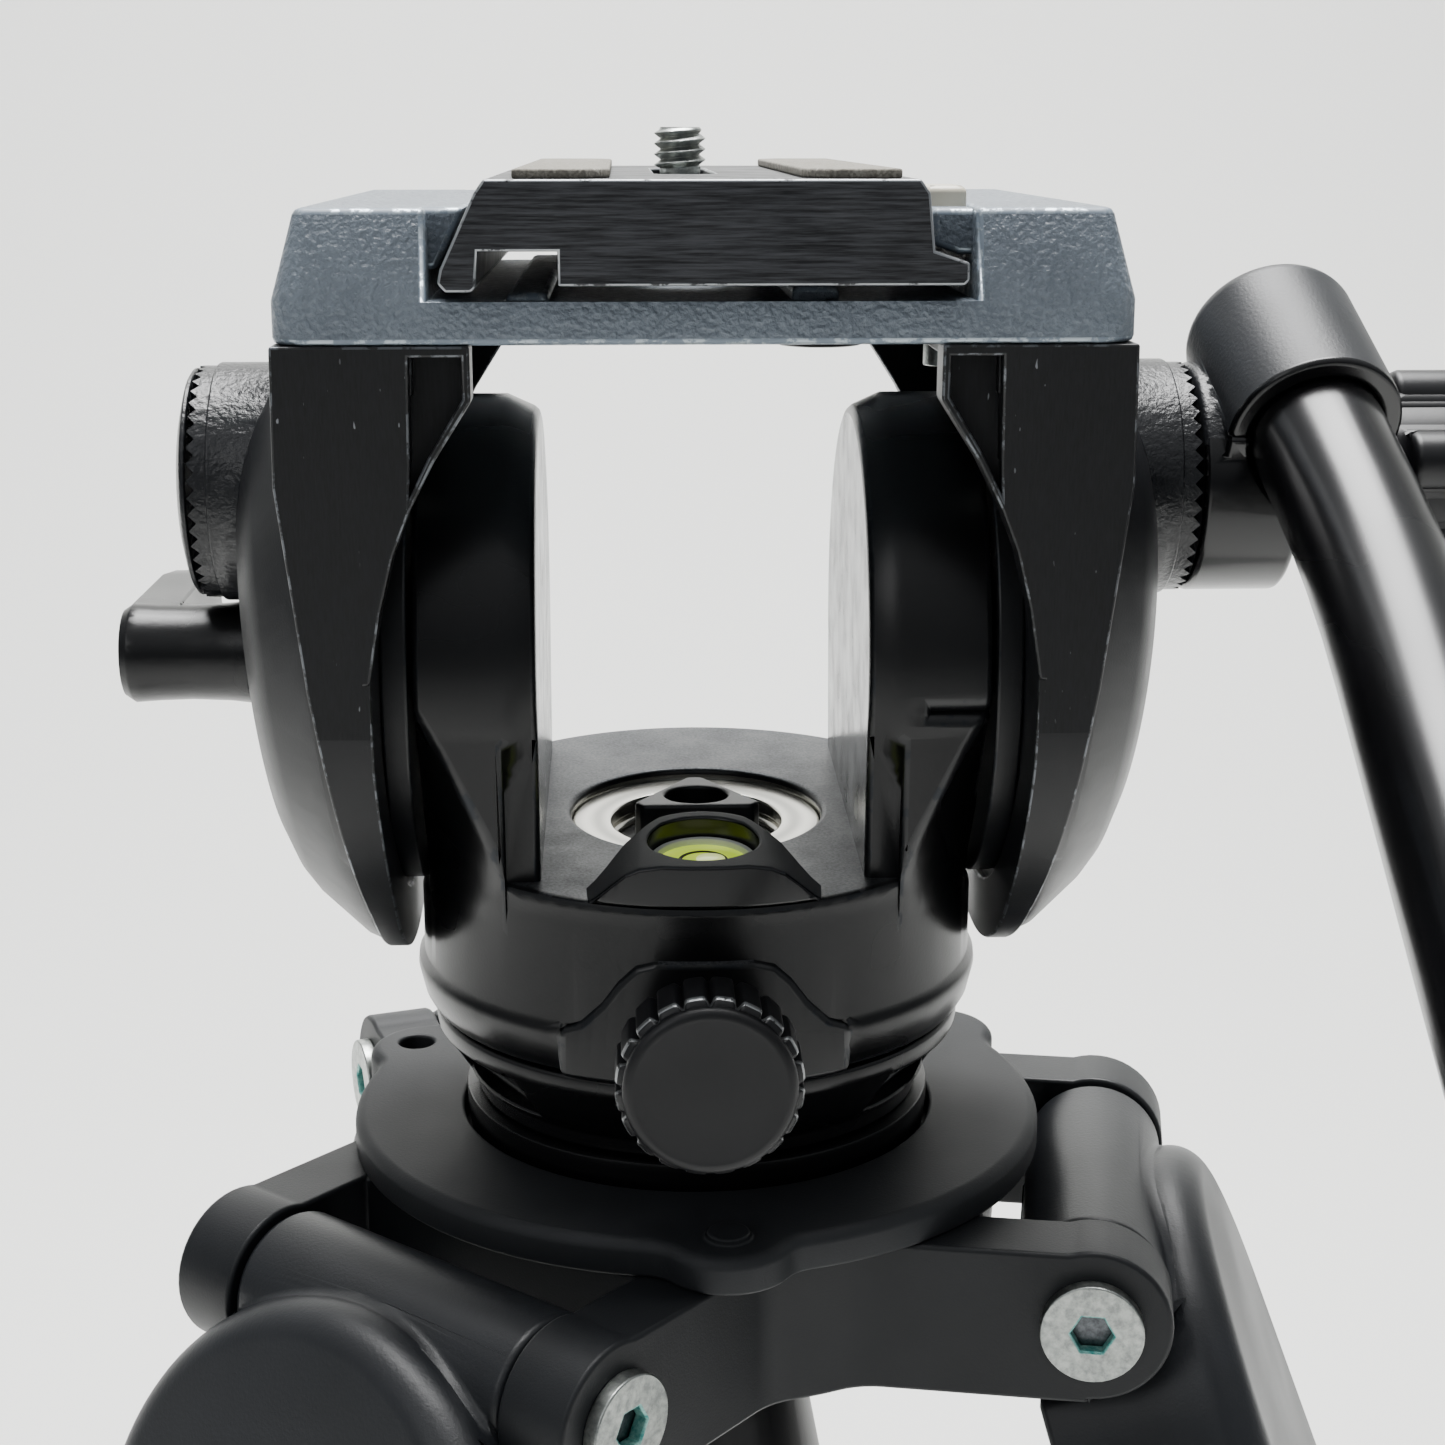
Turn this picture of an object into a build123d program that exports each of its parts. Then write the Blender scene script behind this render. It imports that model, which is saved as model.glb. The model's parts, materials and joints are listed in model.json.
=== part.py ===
from build123d import *
from math import acos, cos, degrees, radians, sin, tan
import os

# Tripod with a fluid head: a camera platform on two side arms that tilt between
# the cheeks of a yoke, over a panning base on a half ball, on a three-legged stand.
# Millimetres, +Z up, origin on the floor under the pan axis. +Y points away from
# the operator, +X is the operator's right.

# Stand
pivot_height = 640.0        # leg hinges above the floor, legs retracted and spread
pivot_radius = 52.0         # leg hinges from the pan axis
leg_spread = 21.0           # degrees from the vertical
leg_angles = (-131.0, -11.0, 109.0)
tube_offset = 20.0          # twin tubes either side of the leg's centre line
tube_radius = 8.0
tube_wall = 1.2
lower_radius = 10.0
barrel_half = 21.5          # hinge barrel between the crown's ears
ear_inner = 22.0
ear_outer = 31.5
ear_radius = 9.5
axle_radius = 3.0
ring_inner = 30.4

# Spreader
bracket_down = 300.0        # bracket from the hinge, along the leg
lug_reach = 34.0            # bracket's eye inside the leg's centre line
hub_radius = 22.0           # arm hinges from the pan axis
arm_droop = 25.0            # degrees below the horizontal, legs spread

# Head
plate_top = pivot_height + 131.5
tilt_z = plate_top - 56.5
lock_z = plate_top - 58.3     # tilt lock's spindle, just under the rosette
rosette_z = plate_top - 37.0
ball_z = plate_top - 115.0
ball_radius = 30.0
channel_floor = plate_top - 12.5
block_top = plate_top - 3.0
block_bottom = plate_top - 17.0
cheek_inner = 19.0
cheek_outer = 33.0
arm_inner = 36.6
arm_outer = 45.5
rosette_radius = 14.1
socket_mouth = Vector(73.3, -13.4, plate_top - 30.2)
bar_angle = 30.6            # pan bar below the horizontal
socket_turn = 5.7           # socket turned out from the head, in plan
bar_turn = -2.4             # and the bar past its bend
bend_middle = 24.5          # from the socket's mouth
bend_length = 39.0
bar_length = 350.0          # socket's mouth to the end of the grip
floor_slope = 3.3           # the yoke's floor falls towards the operator
floor_height = plate_top - 79.2

running = 0.05              # radial clearance of shafts in bores
gap = 0.3                   # between faces that slide past each other


def slab(x0, x1, y0, y1, z0, z1):
    """Box between two corners."""
    block = Box(x1 - x0, y1 - y0, z1 - z0)
    return Pos((x0 + x1) / 2, (y0 + y1) / 2, (z0 + z1) / 2) * block


def rod_x(radius, x0, x1, y=0.0, z=0.0):
    return Pos((x0 + x1) / 2, y, z) * Rot(0, 90, 0) * Cylinder(radius, abs(x1 - x0))


def rod_y(radius, y0, y1, x=0.0, z=0.0):
    return Pos(x, (y0 + y1) / 2, z) * Rot(90, 0, 0) * Cylinder(radius, abs(y1 - y0))


def rod_z(radius, z0, z1, x=0.0, y=0.0):
    return Pos(x, y, (z0 + z1) / 2) * Cylinder(radius, abs(z1 - z0))


def prism_x(points, x0, x1):
    """Outline in (Y, Z), swept from x0 to x1."""
    face = make_face(Polyline(*[(x0, y, z) for y, z in points], close=True))
    return extrude(face, amount=x1 - x0, dir=(1, 0, 0))


def prism_y(points, y0, y1):
    """Outline in (X, Z), swept from y0 to y1."""
    face = make_face(Polyline(*[(x, y0, z) for x, z in points], close=True))
    return extrude(face, amount=y1 - y0, dir=(0, 1, 0))


def prism_z(points, z0, z1):
    """Outline in (X, Y), swept from z0 to z1."""
    face = make_face(Polyline(*[(x, y, z0) for x, y in points], close=True))
    return extrude(face, amount=z1 - z0, dir=(0, 0, 1))


def lathe_z(points):
    """Outline of (radius, height), turned about the pan axis."""
    face = make_face(Polyline(*[(r, 0, z) for r, z in points], close=True))
    return revolve(face, Axis.Z)


def lathe_x(points, y, z):
    """Outline of (radius, x), turned about an axis along X."""
    face = make_face(Polyline(*[(x, r, 0) for r, x in points], close=True))
    return Pos(0, y, z) * revolve(face, Axis.X)


def mirror_x(shape):
    return mirror(shape, about=Plane.YZ)


def group(solids):
    """Separate solids that share one node."""
    return Compound(children=list(solids))


# ---------------------------------------------------------------- camera plate

def camera_plate():
    """Sliding dovetail plate with a hooked left edge and a slotted middle."""
    outline = [
        (-22.8, 0.0), (21.7, 0.0), (22.7, -1.4), (23.3, -7.2), (26.9, -8.4),
        (26.9, -10.2), (26.4, -10.7), (-15.4, -10.7), (-15.4, -7.2), (-23.5, -7.2),
        (-23.8, -10.9), (-24.3, -11.3), (-26.9, -11.3), (-27.7, -10.4),
        (-27.4, -9.0), (-23.8, -1.4),
    ]
    plate = prism_y([(x, plate_top + z) for x, z in outline], -46.0, 50.0)
    plate += slab(-23.6, -15.3, 30.0, 50.0, plate_top - 10.7, plate_top - 7.0)
    slot = slab(-1.5 - 3.45, -1.5 + 3.45, -14.0, 26.0, plate_top - 12, plate_top + 1)
    slot += rod_z(3.45, plate_top - 12, plate_top + 1, -1.5, -14.0)
    slot += rod_z(3.45, plate_top - 12, plate_top + 1, -1.5, 26.0)
    well = slab(-1.5 - 7.2, -1.5 + 7.2, -14.0, 26.0, plate_top - 12, plate_top - 6.2)
    well += rod_z(7.2, plate_top - 12, plate_top - 6.2, -1.5, -14.0)
    well += rod_z(7.2, plate_top - 12, plate_top - 6.2, -1.5, 26.0)
    return plate - slot - well


def grip_pads():
    """Two rubber strips on the plate, cut on a slant at their inner corners."""
    left = [
        (-20.0, -44.0), (-12.5, -44.0), (-10.0, -39.0), (-10.0, 43.0), (-12.5, 48.0), (-20.0, 48.0),
    ]
    strip = prism_z(left, plate_top, plate_top + 1.0)
    return group([strip, mirror_x(strip)])


def camera_screw():
    """Captive camera screw: head in the well, neck in the slot, thread on top."""
    head = rod_z(6.4, plate_top - 10.4, plate_top - 6.5, -1.5, 10.0)
    neck = rod_z(2.5, plate_top - 6.5, plate_top + 0.2, -1.5, 10.0)
    thread = rod_z(3.175, plate_top + 0.2, plate_top + 5.2, -1.5, 10.0)
    return head + neck + thread


# ---------------------------------------------------------------- platform and arms

def platform():
    """Cast block: a straight band, a band that slopes in above it, and the channel."""
    ledge = plate_top - 12.5
    outline = RectangleRounded(91.2, 85.0, 4.0)
    band = extrude(Pos(0, 0, block_bottom) * outline, amount=ledge - block_bottom)
    slope = extrude(Pos(0, 0, ledge) * outline, amount=block_top - ledge, taper=16)
    block = band + slope
    block -= slab(-29.2, 28.3, -60, 60, channel_floor, plate_top + 5)
    runner = slab(9.0, 14.0, -40.0, 40.0, channel_floor - 1, plate_top - 11.0)
    block += runner
    block += slab(-21.0, -16.5, -40.0, 40.0, channel_floor - 1, plate_top - 11.7)
    left_jaw = [(-30.0, -3.0), (-25.2, -3.0), (-28.3, -9.5), (-30.0, -9.5)]
    block += prism_y([(x, plate_top + z) for x, z in left_jaw], -37.0, 38.0)
    right_jaw = [(24.1, -3.2), (29.5, -3.2), (29.5, -8.0), (26.9, -8.0), (24.1, -7.0)]
    block += prism_y([(x, plate_top + z) for x, z in right_jaw], -37.0, 38.0)
    block -= slab(23.9, 29.0, -30.0, -20.0, plate_top - 7.9, plate_top)
    for x in (-33.8, 33.8):
        for y in (-26.0, 26.0):
            block -= rod_z(2.0, block_bottom - 1, plate_top - 9.0, x, y)
    block -= rod_z(4.0, block_bottom - 1, plate_top - 14.0, 18.0, 34.0)
    return block


def arm_outline():
    """Flat top that runs tangentially into a disc about the tilt axis."""
    radius = 38.5
    top_y = 42.5
    top_z = 39.5
    reach = (top_y ** 2 + top_z ** 2) ** 0.5
    turn = degrees(acos(radius / reach))
    corner = 90 - degrees(acos(top_z / reach))
    touch = radians(corner - turn)
    tangent = (radius * cos(touch), radius * sin(touch))
    return radius, (top_y, top_z), tangent


def arm_section():
    """Outline of the arm seen by the operator, from the flange to the rim's foot."""
    outline = [
        (36.6, -17.0), (45.6, -17.0), (46.0, -32.0), (43.6, -55.0), (41.0, -72.0),
        (38.9, -85.0), (38.0, -96.0), (35.7, -96.0), (35.7, -82.0), (36.6, -64.0),
    ]
    return [(x, plate_top + z) for x, z in outline]


def arm_web(near):
    """Curved gusset under the flange, flush with the arm's front or back edge."""
    outline = [
        (24.8, -17.0), (24.8, -22.9), (29.0, -29.5), (31.8, -35.0), (33.6, -39.5),
        (35.3, -46.0), (36.7, -54.0), (37.5, -54.0), (37.5, -17.0),
    ]
    pocket = [(25.7, -18.2), (31.2, -18.2), (31.4, -29.5), (31.6, -33.0), (29.5, -28.8), (25.7, -22.6)]
    web = prism_y([(x, plate_top + z) for x, z in outline], -43.0, 43.0)
    strip = [(42.5, 39.5), (38.4, -3.5), (34.9, -3.5), (37.5, 39.5)]
    web = web & prism_x([(near * y, tilt_z + z) for y, z in strip], 24.0, 38.0)
    return web - prism_y([(x, plate_top + z) for x, z in pocket], near * 38.6, near * 44.0)


def arm_right():
    """Side arm: plate, shallow domed cover, rosette boss and top flange."""
    radius, corner, tangent = arm_outline()
    wedge = [(-corner[0], corner[1]), corner, tangent, (0.0, 0.0), (-tangent[0], tangent[1])]
    wedge = [(y, tilt_z + z) for y, z in wedge]
    arm = prism_x(wedge, 35.0, 47.0) + rod_x(radius, 35.0, 47.0, 0, tilt_z)
    arm = arm & prism_y(arm_section(), -45.0, 45.0)
    arm -= rod_x(31.0, 35.0, arm_inner, 0, tilt_z)
    dome = [
        (0.0, 0.0), (37.6, 0.0), (37.6, 2.4), (36.8, 3.8), (31.4, 8.8),
        (29.0, 10.4), (25.0, 12.0), (20.0, 12.9), (12.0, 13.5), (0.0, 13.7),
    ]
    arm += Pos(40.0, 0, tilt_z) * Rot(0, 6, 0) * lathe_x(dome, 0, 0)
    arm += rod_x(14.5, 43.0, 57.8, 0, rosette_z)
    arm += slab(31.0, arm_inner + 1, -40.0, 40.0, plate_top - 22.5, block_bottom)
    arm += arm_web(1) + arm_web(-1)
    for y in (-26.0, 26.0):
        arm -= rod_z(2.2, plate_top - 24.0, block_bottom + 1, 33.8, y)
    arm -= rod_x(8.0, arm_inner - 1, arm_outer, 0, tilt_z)
    arm += rod_x(rosette_radius, 57.8, 60.0, 0, rosette_z)
    arm -= rod_x(4.1, 48.0, 61.0, 0, rosette_z)
    return arm


def arm_left():
    """The other arm, closed over the shaft, with a bore for the lock's spindle."""
    arm = mirror_x(arm_right())
    arm += rod_x(4.5, -48.0, -57.5, 0, rosette_z)
    arm -= rod_x(3.0 + running, -50.0, -55.0, 0, lock_z)
    return arm


def rosette_cap():
    """Domed cap that closes the left rosette."""
    dome = [(0.0, -60.1), (13.8, -60.1), (13.8, -60.8), (10.5, -61.7), (0.0, -62.2)]
    return lathe_x(dome, 0, rosette_z)


def arm_screws():
    """Four socket screws up through the arms' flanges into the block."""
    screws = []
    for x in (-33.8, 33.8):
        for y in (-26.0, 26.0):
            head = rod_z(2.6, plate_top - 25.6, plate_top - 22.5, x, y)
            shank = rod_z(2.0, plate_top - 22.5, plate_top - 9.5, x, y)
            screws.append(head + shank)
    return group(screws)


def tilt_shafts():
    """Stub shafts, fixed in the arms and running in the cheeks."""
    stub = rod_x(8.0, 20.8, arm_outer, 0, tilt_z)
    return group([stub, mirror_x(stub)])


def tilt_flanges():
    """Discs that close the drag housings and turn with the arms."""
    disc = rod_x(30.0, cheek_outer + 0.5, arm_inner, 0, tilt_z) - rod_x(8.0, 30, 40, 0, tilt_z)
    return group([disc, mirror_x(disc)])


def drag_discs():
    """Fluid drag plates on the right shaft."""
    discs = []
    for x in (25.6, 28.2, 30.8):
        discs.append(rod_x(21.0, x, x + 1.4, 0, tilt_z) - rod_x(8.0, x - 1, x + 3, 0, tilt_z))
    return group(discs)


def counterbalance_spring():
    """Turns of the torsion spring about the left shaft."""
    turns = []
    for i in range(3):
        ring = Torus(14.0, 1.2)
        turns.append(Pos(-26.0 - 2.6 * i, 0, tilt_z) * Rot(0, 90, 0) * ring)
    return group(turns)


def tilt_lock_lever():
    """Wing lever on the lock's spindle, pointing away from the operator."""
    spindle = rod_x(3.0, -51.0, -63.0, 0, lock_z)
    hub = lathe_x([
        (0.0, -54.5), (6.5, -54.5), (6.1, -58.0), (5.9, -62.5),
        (6.0, -66.5), (6.2, -69.6), (5.4, -70.8), (0.0, -70.8),
    ], 0, lock_z)
    wing = [(0.0, -6.0), (20.0, -6.2), (30.0, -5.0), (31.5, 0.0), (30.0, 5.0), (20.0, 6.2), (0.0, 6.0)]
    blade = prism_x([(y, lock_z + z) for y, z in wing], -70.0, -64.0)
    return hub + blade + spindle


def plate_lock_lever():
    """Lever under the block that clamps the sliding plate."""
    hub = rod_z(6.0, plate_top - 23.5, block_bottom - gap, 18.0, 34.0)
    post = rod_z(4.0 - running, block_bottom - gap - 1, plate_top - 14.3, 18.0, 34.0)
    blade = [(12.6, 34.0), (23.4, 34.0), (25.0, 58.0), (21.0, 61.0), (16.0, 58.5)]
    return hub + post + prism_z(blade, plate_top - 23.0, plate_top - 18.0)


def plate_release_button():
    """Sprung catch beside the plate, standing just proud of the block."""
    button = slab(24.2, 28.7, -29.7, -20.3, plate_top - 5.6, plate_top - 1.0)
    return fillet(button.edges().group_by(Axis.Z)[-1], 0.8)


# ---------------------------------------------------------------- pan bar

def bar_direction(turn):
    """Unit vector down the bar, turned out from the head by an angle in plan."""
    lean = radians(bar_angle)
    swing = radians(turn)
    return Vector(sin(swing) * cos(lean), -cos(swing) * cos(lean), -sin(lean))


def along_socket(start, end, radius):
    """Cylinder on the socket's axis; distances run down the bar from its mouth."""
    along = bar_direction(socket_turn)
    base = Plane(origin=socket_mouth + along * start, z_dir=along)
    return extrude(base * Circle(radius), amount=end - start)


def along_bar(start, end, radius):
    """Cylinder on the straight part of the bar, past its bend."""
    corner = socket_mouth + bar_direction(socket_turn) * bend_middle
    along = bar_direction(bar_turn)
    base = Plane(origin=corner + along * (start - bend_middle), z_dir=along)
    return extrude(base * Circle(radius), amount=end - start)


def pan_bar_clamp():
    """Clamp with its own rosette disc and a closed socket for the bar."""
    clamp = rod_x(rosette_radius, 60.3, 72.1, 0, rosette_z) + rod_x(9.5, 72.0, 83.6, 0, rosette_z)
    lean = radians(bar_angle)
    side = Vector(0, sin(lean), -cos(lean))
    foot_point = Vector(0, 0, rosette_z)
    across = Vector(0, cos(lean), sin(lean)) * 9.6
    left = foot_point + across
    right = foot_point - across
    rise = side * 13.0
    corners = [left, right, right - rise, left - rise]
    clamp += prism_x([(c.Y, c.Z) for c in corners], 62.6, 71.8)
    socket = along_socket(-22.0, 0.0, 10.6)
    socket = fillet(socket.edges().sort_by(Axis.Z)[-1:], 3.0)
    clamp += socket
    clamp -= along_socket(-16.0, 7.0, 8.0)
    clamp -= rod_x(4.1, 59.0, 90.0, 0, rosette_z)
    return clamp


def bar_path():
    """Centre line: down the socket, round an easy bend, then straight."""
    bend = socket_turn - bar_turn
    corner = socket_mouth + bar_direction(socket_turn) * bend_middle
    top = socket_mouth - bar_direction(socket_turn) * 16.0
    end = corner + bar_direction(bar_turn) * (bar_length - bend_middle)
    radius = bend_length / 2 / tan(radians(bend) / 2)
    return FilletPolyline(top, corner, end, radius=radius)


def pan_bar():
    path = bar_path()
    start = Plane(origin=path @ 0, z_dir=path % 0)
    outer = sweep(start * Circle(8.0), path=path)
    return outer - sweep(start * Circle(6.6), path=path)


def bar_grip():
    """Soft grip: a barrel shape with a flared collar at its lower end."""
    grip = along_bar(236.0, 350.0, 12.6)
    grip += along_bar(236.0, 242.0, 14.0) + along_bar(338.0, 350.0, 14.4)
    return grip - along_bar(230.0, 352.0, 8.0)


def bar_cap():
    cap = along_bar(350.0, 357.0, 13.4)
    return cap + along_bar(344.0, 351.0, 6.6)


def clamp_knob():
    """Clamp knob: bolt through the clamp into the arm, and a five-lobed head."""
    knob = rod_x(4.0, 49.0, 86.0, 0, rosette_z) + rod_x(10.0, 84.0, 100.0, 0, rosette_z)
    for i in range(5):
        turn = radians(72 * i)
        knob += rod_x(3.6, 86.0, 99.0, 9.4 * sin(turn), rosette_z + 9.4 * cos(turn))
    return knob


# ---------------------------------------------------------------- yoke and base

def sloped(shape, height):
    """Tilts a shape drawn about the pan axis with the floor, and lifts it above it."""
    return Pos(0, 0, floor_height) * Rot(floor_slope, 0, 0) * Pos(0, 0, height) * shape


def cheek():
    """Round-topped cheek of the yoke with its drag housing, on the right side."""
    rim = [(0.0, cheek_inner), (28.2, cheek_inner), (30.0, 23.0), (30.0, cheek_outer), (0.0, cheek_outer)]
    side = [(-29.9, 0.0), (29.9, 0.0), (27.0, -30.0), (-27.0, -30.0)]
    body = lathe_x(rim, 0, tilt_z)
    body += prism_x([(y, tilt_z + z) for y, z in side], 23.0, cheek_outer)
    body += prism_x([(y * 0.94, tilt_z + z) for y, z in side], cheek_inner, 23.0)
    bell = [
        (0, -90.0), (34.9, -90.0), (34.9, -86.5), (35.6, -81.0), (38.0, -74.0), (42.0, -64.0),
        (46.0, -56.0), (46.0, -20.0), (0, -20.0),
    ]
    return body & lathe_z([(r, plate_top + z) for r, z in bell])


def yoke():
    """Turning base drum with two cheeks and the floor between them."""
    profile = [
        (0, -103.0), (33.9, -103.0), (35.0, -101.0), (35.7, -98.0), (35.6, -97.0), (34.9, -96.2),
        (34.9, -84.0), (35.3, -80.0), (35.3, -72.0), (0, -72.0),
    ]
    drum = lathe_z([(r, plate_top + z) for r, z in profile])
    drum -= sloped(Box(90.0, 90.0, 20.0), 10.0)
    flat = slab(33.2, 45.0, -40.0, 40.0, plate_top - 87.2, plate_top)
    drum -= flat + mirror_x(flat)
    shoulder_line = [
        (17.0, -103.0), (17.0, -96.9), (14.5, -95.8), (12.0, -93.2), (10.0, -90.3),
        (8.0, -88.3), (5.5, -87.6),
    ]
    outline = shoulder_line + [(-x, z) for x, z in reversed(shoulder_line)]
    boss = prism_y([(x, plate_top + z) for x, z in outline], -37.0, -25.0)
    right = cheek()
    body = drum + (boss & rod_z(35.7, plate_top - 103.0, plate_top - 80.0)) + right + mirror_x(right)
    for side in (-1, 1):
        body -= rod_x(24.0, side * 24.0, side * (cheek_outer + 1), 0, tilt_z)
        body -= rod_x(8.0 + running, side * 20.5, side * 30.0, 0, tilt_z)
    notch = [(-31.0, -1.6), (-28.6, -3.4), (-31.0, -5.2)]
    body -= prism_x([(y, tilt_z + z) for y, z in notch], 26.0, cheek_outer + 1)
    body -= sloped(rod_z(15.9, -3.4, 8.0), 0.0)
    body -= rod_z(10.0 + running, plate_top - 104.0, plate_top - 78.0)
    body -= rod_y(3.0 + running, -39.0, -28.0, 0, plate_top - 97.5)
    return body


def bearing_ring():
    """Steel ring in the counterbore of the floor."""
    return sloped(rod_z(15.8, -3.4, -1.4) - rod_z(10.8, -4.0, 0.0), 0.0)


def pan_nut():
    """Three-cornered nut on the pan spindle."""
    nut = extrude(Pos(0, 0, plate_top - 83.0) * RegularPolygon(10.4, 3, rotation=90), amount=5.6)
    nut = nut & rod_z(8.6, plate_top - 90.0, plate_top - 70.0)
    return nut - rod_z(4.0, plate_top - 90.0, plate_top - 70.0)


def bubble_bezel():
    """Level housing: a hump across the front of the floor with a round well."""
    half = [
        (18.8, -9.0), (18.8, -7.3), (16.8, -6.8), (14.6, -5.8), (12.6, -4.4), (10.8, -2.7),
        (9.2, -1.3), (7.6, -0.5), (5.0, 0.0),
    ]
    outline = half + [(-x, z) for x, z in reversed(half)]
    hump = Pos(0, -26.5, plate_top - 75.3) * Rot(6, 0, 0) * prism_y(outline, -12.0, 12.0)
    back = [(18.8, -30.0), (14.8, -28.8), (11.2, -26.6), (8.0, -23.4), (6.0, -22.0)]
    plan = [(-18.8, -36.0), (18.8, -36.0)] + back + [(-x, y) for x, y in reversed(back)]
    tower = prism_z(plan, plate_top - 90.0, plate_top - 60.0)
    tower += rod_z(8.2, plate_top - 90.0, plate_top - 60.0, 0, -26.3)
    hump = hump & tower
    hump = hump & rod_z(35.3, plate_top - 90.0, plate_top - 60.0)
    hump -= sloped(Box(90.0, 90.0, 20.0), -10.0)
    hump -= Pos(0, -26.5, plate_top - 75.3) * Rot(6, 0, 0) * rod_z(6.5, -4.4, 5.0)
    return hump


def bubble_vial():
    vial = rod_z(6.4, -4.4, -2.4)
    vial = fillet(vial.edges().group_by(Axis.Z)[-1], 0.5)
    return Pos(0, -26.5, plate_top - 75.3) * Rot(6, 0, 0) * vial


def pan_lock_knob():
    """Fluted pan lock knob facing the operator."""
    z = plate_top - 97.5
    knob = rod_y(9.8, -50.0, -48.6, 0, z) + rod_y(10.6, -48.6, -40.5, 0, z)
    for i in range(20):
        turn = radians(18 * i)
        knob -= rod_y(0.8, -48.6, -41.5, 10.7 * sin(turn), z + 10.7 * cos(turn))
    return knob + rod_y(3.0, -41.0, -28.5, 0, z)


def pan_base():
    """Fixed cone under the turning drum, with the pan spindle."""
    base = lathe_z([
        (0, plate_top - 115.0), (28.5, plate_top - 115.0), (28.5, plate_top - 112.6),
        (29.5, plate_top - 112.0), (33.6, plate_top - 105.5), (33.6, plate_top - 103.4),
        (0, plate_top - 103.4),
    ])
    for angle in (-150, -30, 90):
        pocket = slab(27.0, 40.0, -9.0, 9.0, plate_top - 111.5, plate_top - 106.5)
        base -= Rot(0, 0, angle) * pocket
    spindle = rod_z(10.0, plate_top - 104.0, plate_top - 83.0)
    spindle += rod_z(4.0, plate_top - 83.5, plate_top - 81.0)
    return base + spindle


# ---------------------------------------------------------------- bowl

def half_ball():
    """Half ball that sits in the crown's bowl."""
    ball = Pos(0, 0, ball_z) * Sphere(ball_radius)
    ball = ball & rod_z(31.0, ball_z - 26.5, ball_z)
    return ball - rod_z(5.0, ball_z - 40.0, ball_z - 10.0)


def tie_down_stud():
    """Stud through the bowl, with the dished washer under the crown."""
    stud = rod_z(5.0, plate_top - 196.0, ball_z - 10.0)
    washer = lathe_z([
        (0, plate_top - 150.0), (13.0, plate_top - 150.0), (19.0, plate_top - 147.0),
        (19.0, plate_top - 145.0), (0, plate_top - 145.0),
    ])
    return stud + washer


def tie_down_knob():
    """Tall grip under the bowl."""
    knob = lathe_z([
        (0, plate_top - 214.0), (15.0, plate_top - 214.0), (18.5, plate_top - 211.0),
        (20.0, plate_top - 200.0), (17.0, plate_top - 172.0), (14.0, plate_top - 156.0),
        (12.0, plate_top - 150.4), (0, plate_top - 150.4),
    ])
    for i in range(6):
        turn = radians(60 * i)
        knob -= rod_z(4.0, plate_top - 216.0, plate_top - 160.0, 21.5 * cos(turn), 21.5 * sin(turn))
    return knob - rod_z(5.0 + running, plate_top - 198.0, plate_top - 140.0)


def ring_plate():
    """Lobed ring on top of the crown, round the bowl's mouth."""
    top = plate_top - 118.0
    plan = Circle(44.5)
    for angle in (153.0, 273.0, 33.0):
        plan += Rot(0, 0, angle) * Pos(41.0, 0) * Circle(8.0)
    plan = fillet(plan.vertices(), 5.0)
    ring = extrude(Pos(0, 0, top - 4.5) * plan, amount=4.5)
    ring = chamfer(ring.edges().group_by(Axis.Z)[-1], 1.0)
    ring -= rod_z(ring_inner, top - 6, top + 1)
    ring -= Rot(0, 0, 153.0) * rod_z(2.4, top - 2.5, top + 1, 43.0, 0)
    return ring + Rot(0, 0, 273.0) * rod_z(2.6, top - 1, top + 0.8, 43.0, 0)


def crown_casting():
    """Bowl casting with a pair of ears for each leg."""
    top = plate_top - 122.5
    bottom = plate_top - 141.5
    plan = Circle(40.0)
    for angle in leg_angles:
        plan += Rot(0, 0, angle) * Pos(pivot_radius / 2, 0) * Rectangle(pivot_radius, 2 * ear_outer)
    inner_corners = plan.vertices().filter_by(lambda v: 36 < (v.X ** 2 + v.Y ** 2) ** 0.5 < 42)
    plan = fillet(inner_corners, 9.0)
    crown = extrude(Pos(0, 0, bottom) * plan, amount=top - bottom)
    for angle in leg_angles:
        ear_pair = rod_y(ear_radius, -ear_outer, ear_outer, pivot_radius, pivot_height)
        slot = slab(38.5, 70.0, -ear_inner, ear_inner, bottom - 1, top + 1)
        outside = slab(pivot_radius, 70.0, -40.0, 40.0, bottom - 1, top + 1)
        outside -= rod_y(ear_radius, -41.0, 41.0, pivot_radius, pivot_height)
        crown += Rot(0, 0, angle) * ear_pair
        crown -= Rot(0, 0, angle) * slot
        crown -= Rot(0, 0, angle) * outside
        crown -= Rot(0, 0, angle) * rod_y(axle_radius, -40.0, 40.0, pivot_radius, pivot_height)
    crown -= Pos(0, 0, ball_z) * Sphere(ball_radius + gap)
    return crown


def hinge_axles():
    return group(
        Rot(0, 0, angle) * rod_y(axle_radius, -ear_outer, ear_outer, pivot_radius, pivot_height)
        for angle in leg_angles
    )


def hinge_bolts():
    """Low socket heads on the outer faces of the ears."""
    bolts = []
    for angle in leg_angles:
        for side in (-1, 1):
            head = rod_y(6.1, side * ear_outer, side * (ear_outer + 1.9), pivot_radius, pivot_height)
            hexagon = Pos(pivot_radius, side * (ear_outer + 1.0), pivot_height) * Rot(90, 0, 0)
            socket = hexagon * extrude(RegularPolygon(2.5, 6), amount=1.0, both=True)
            bolts.append(Rot(0, 0, angle) * (head - socket))
    return group(bolts)


# ---------------------------------------------------------------- legs

def spread(shape):
    """From the leg's own frame (hinge at the origin, leg down -Z) to its slant."""
    return Pos(pivot_radius, 0, pivot_height) * Rot(0, -leg_spread, 0) * shape


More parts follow.
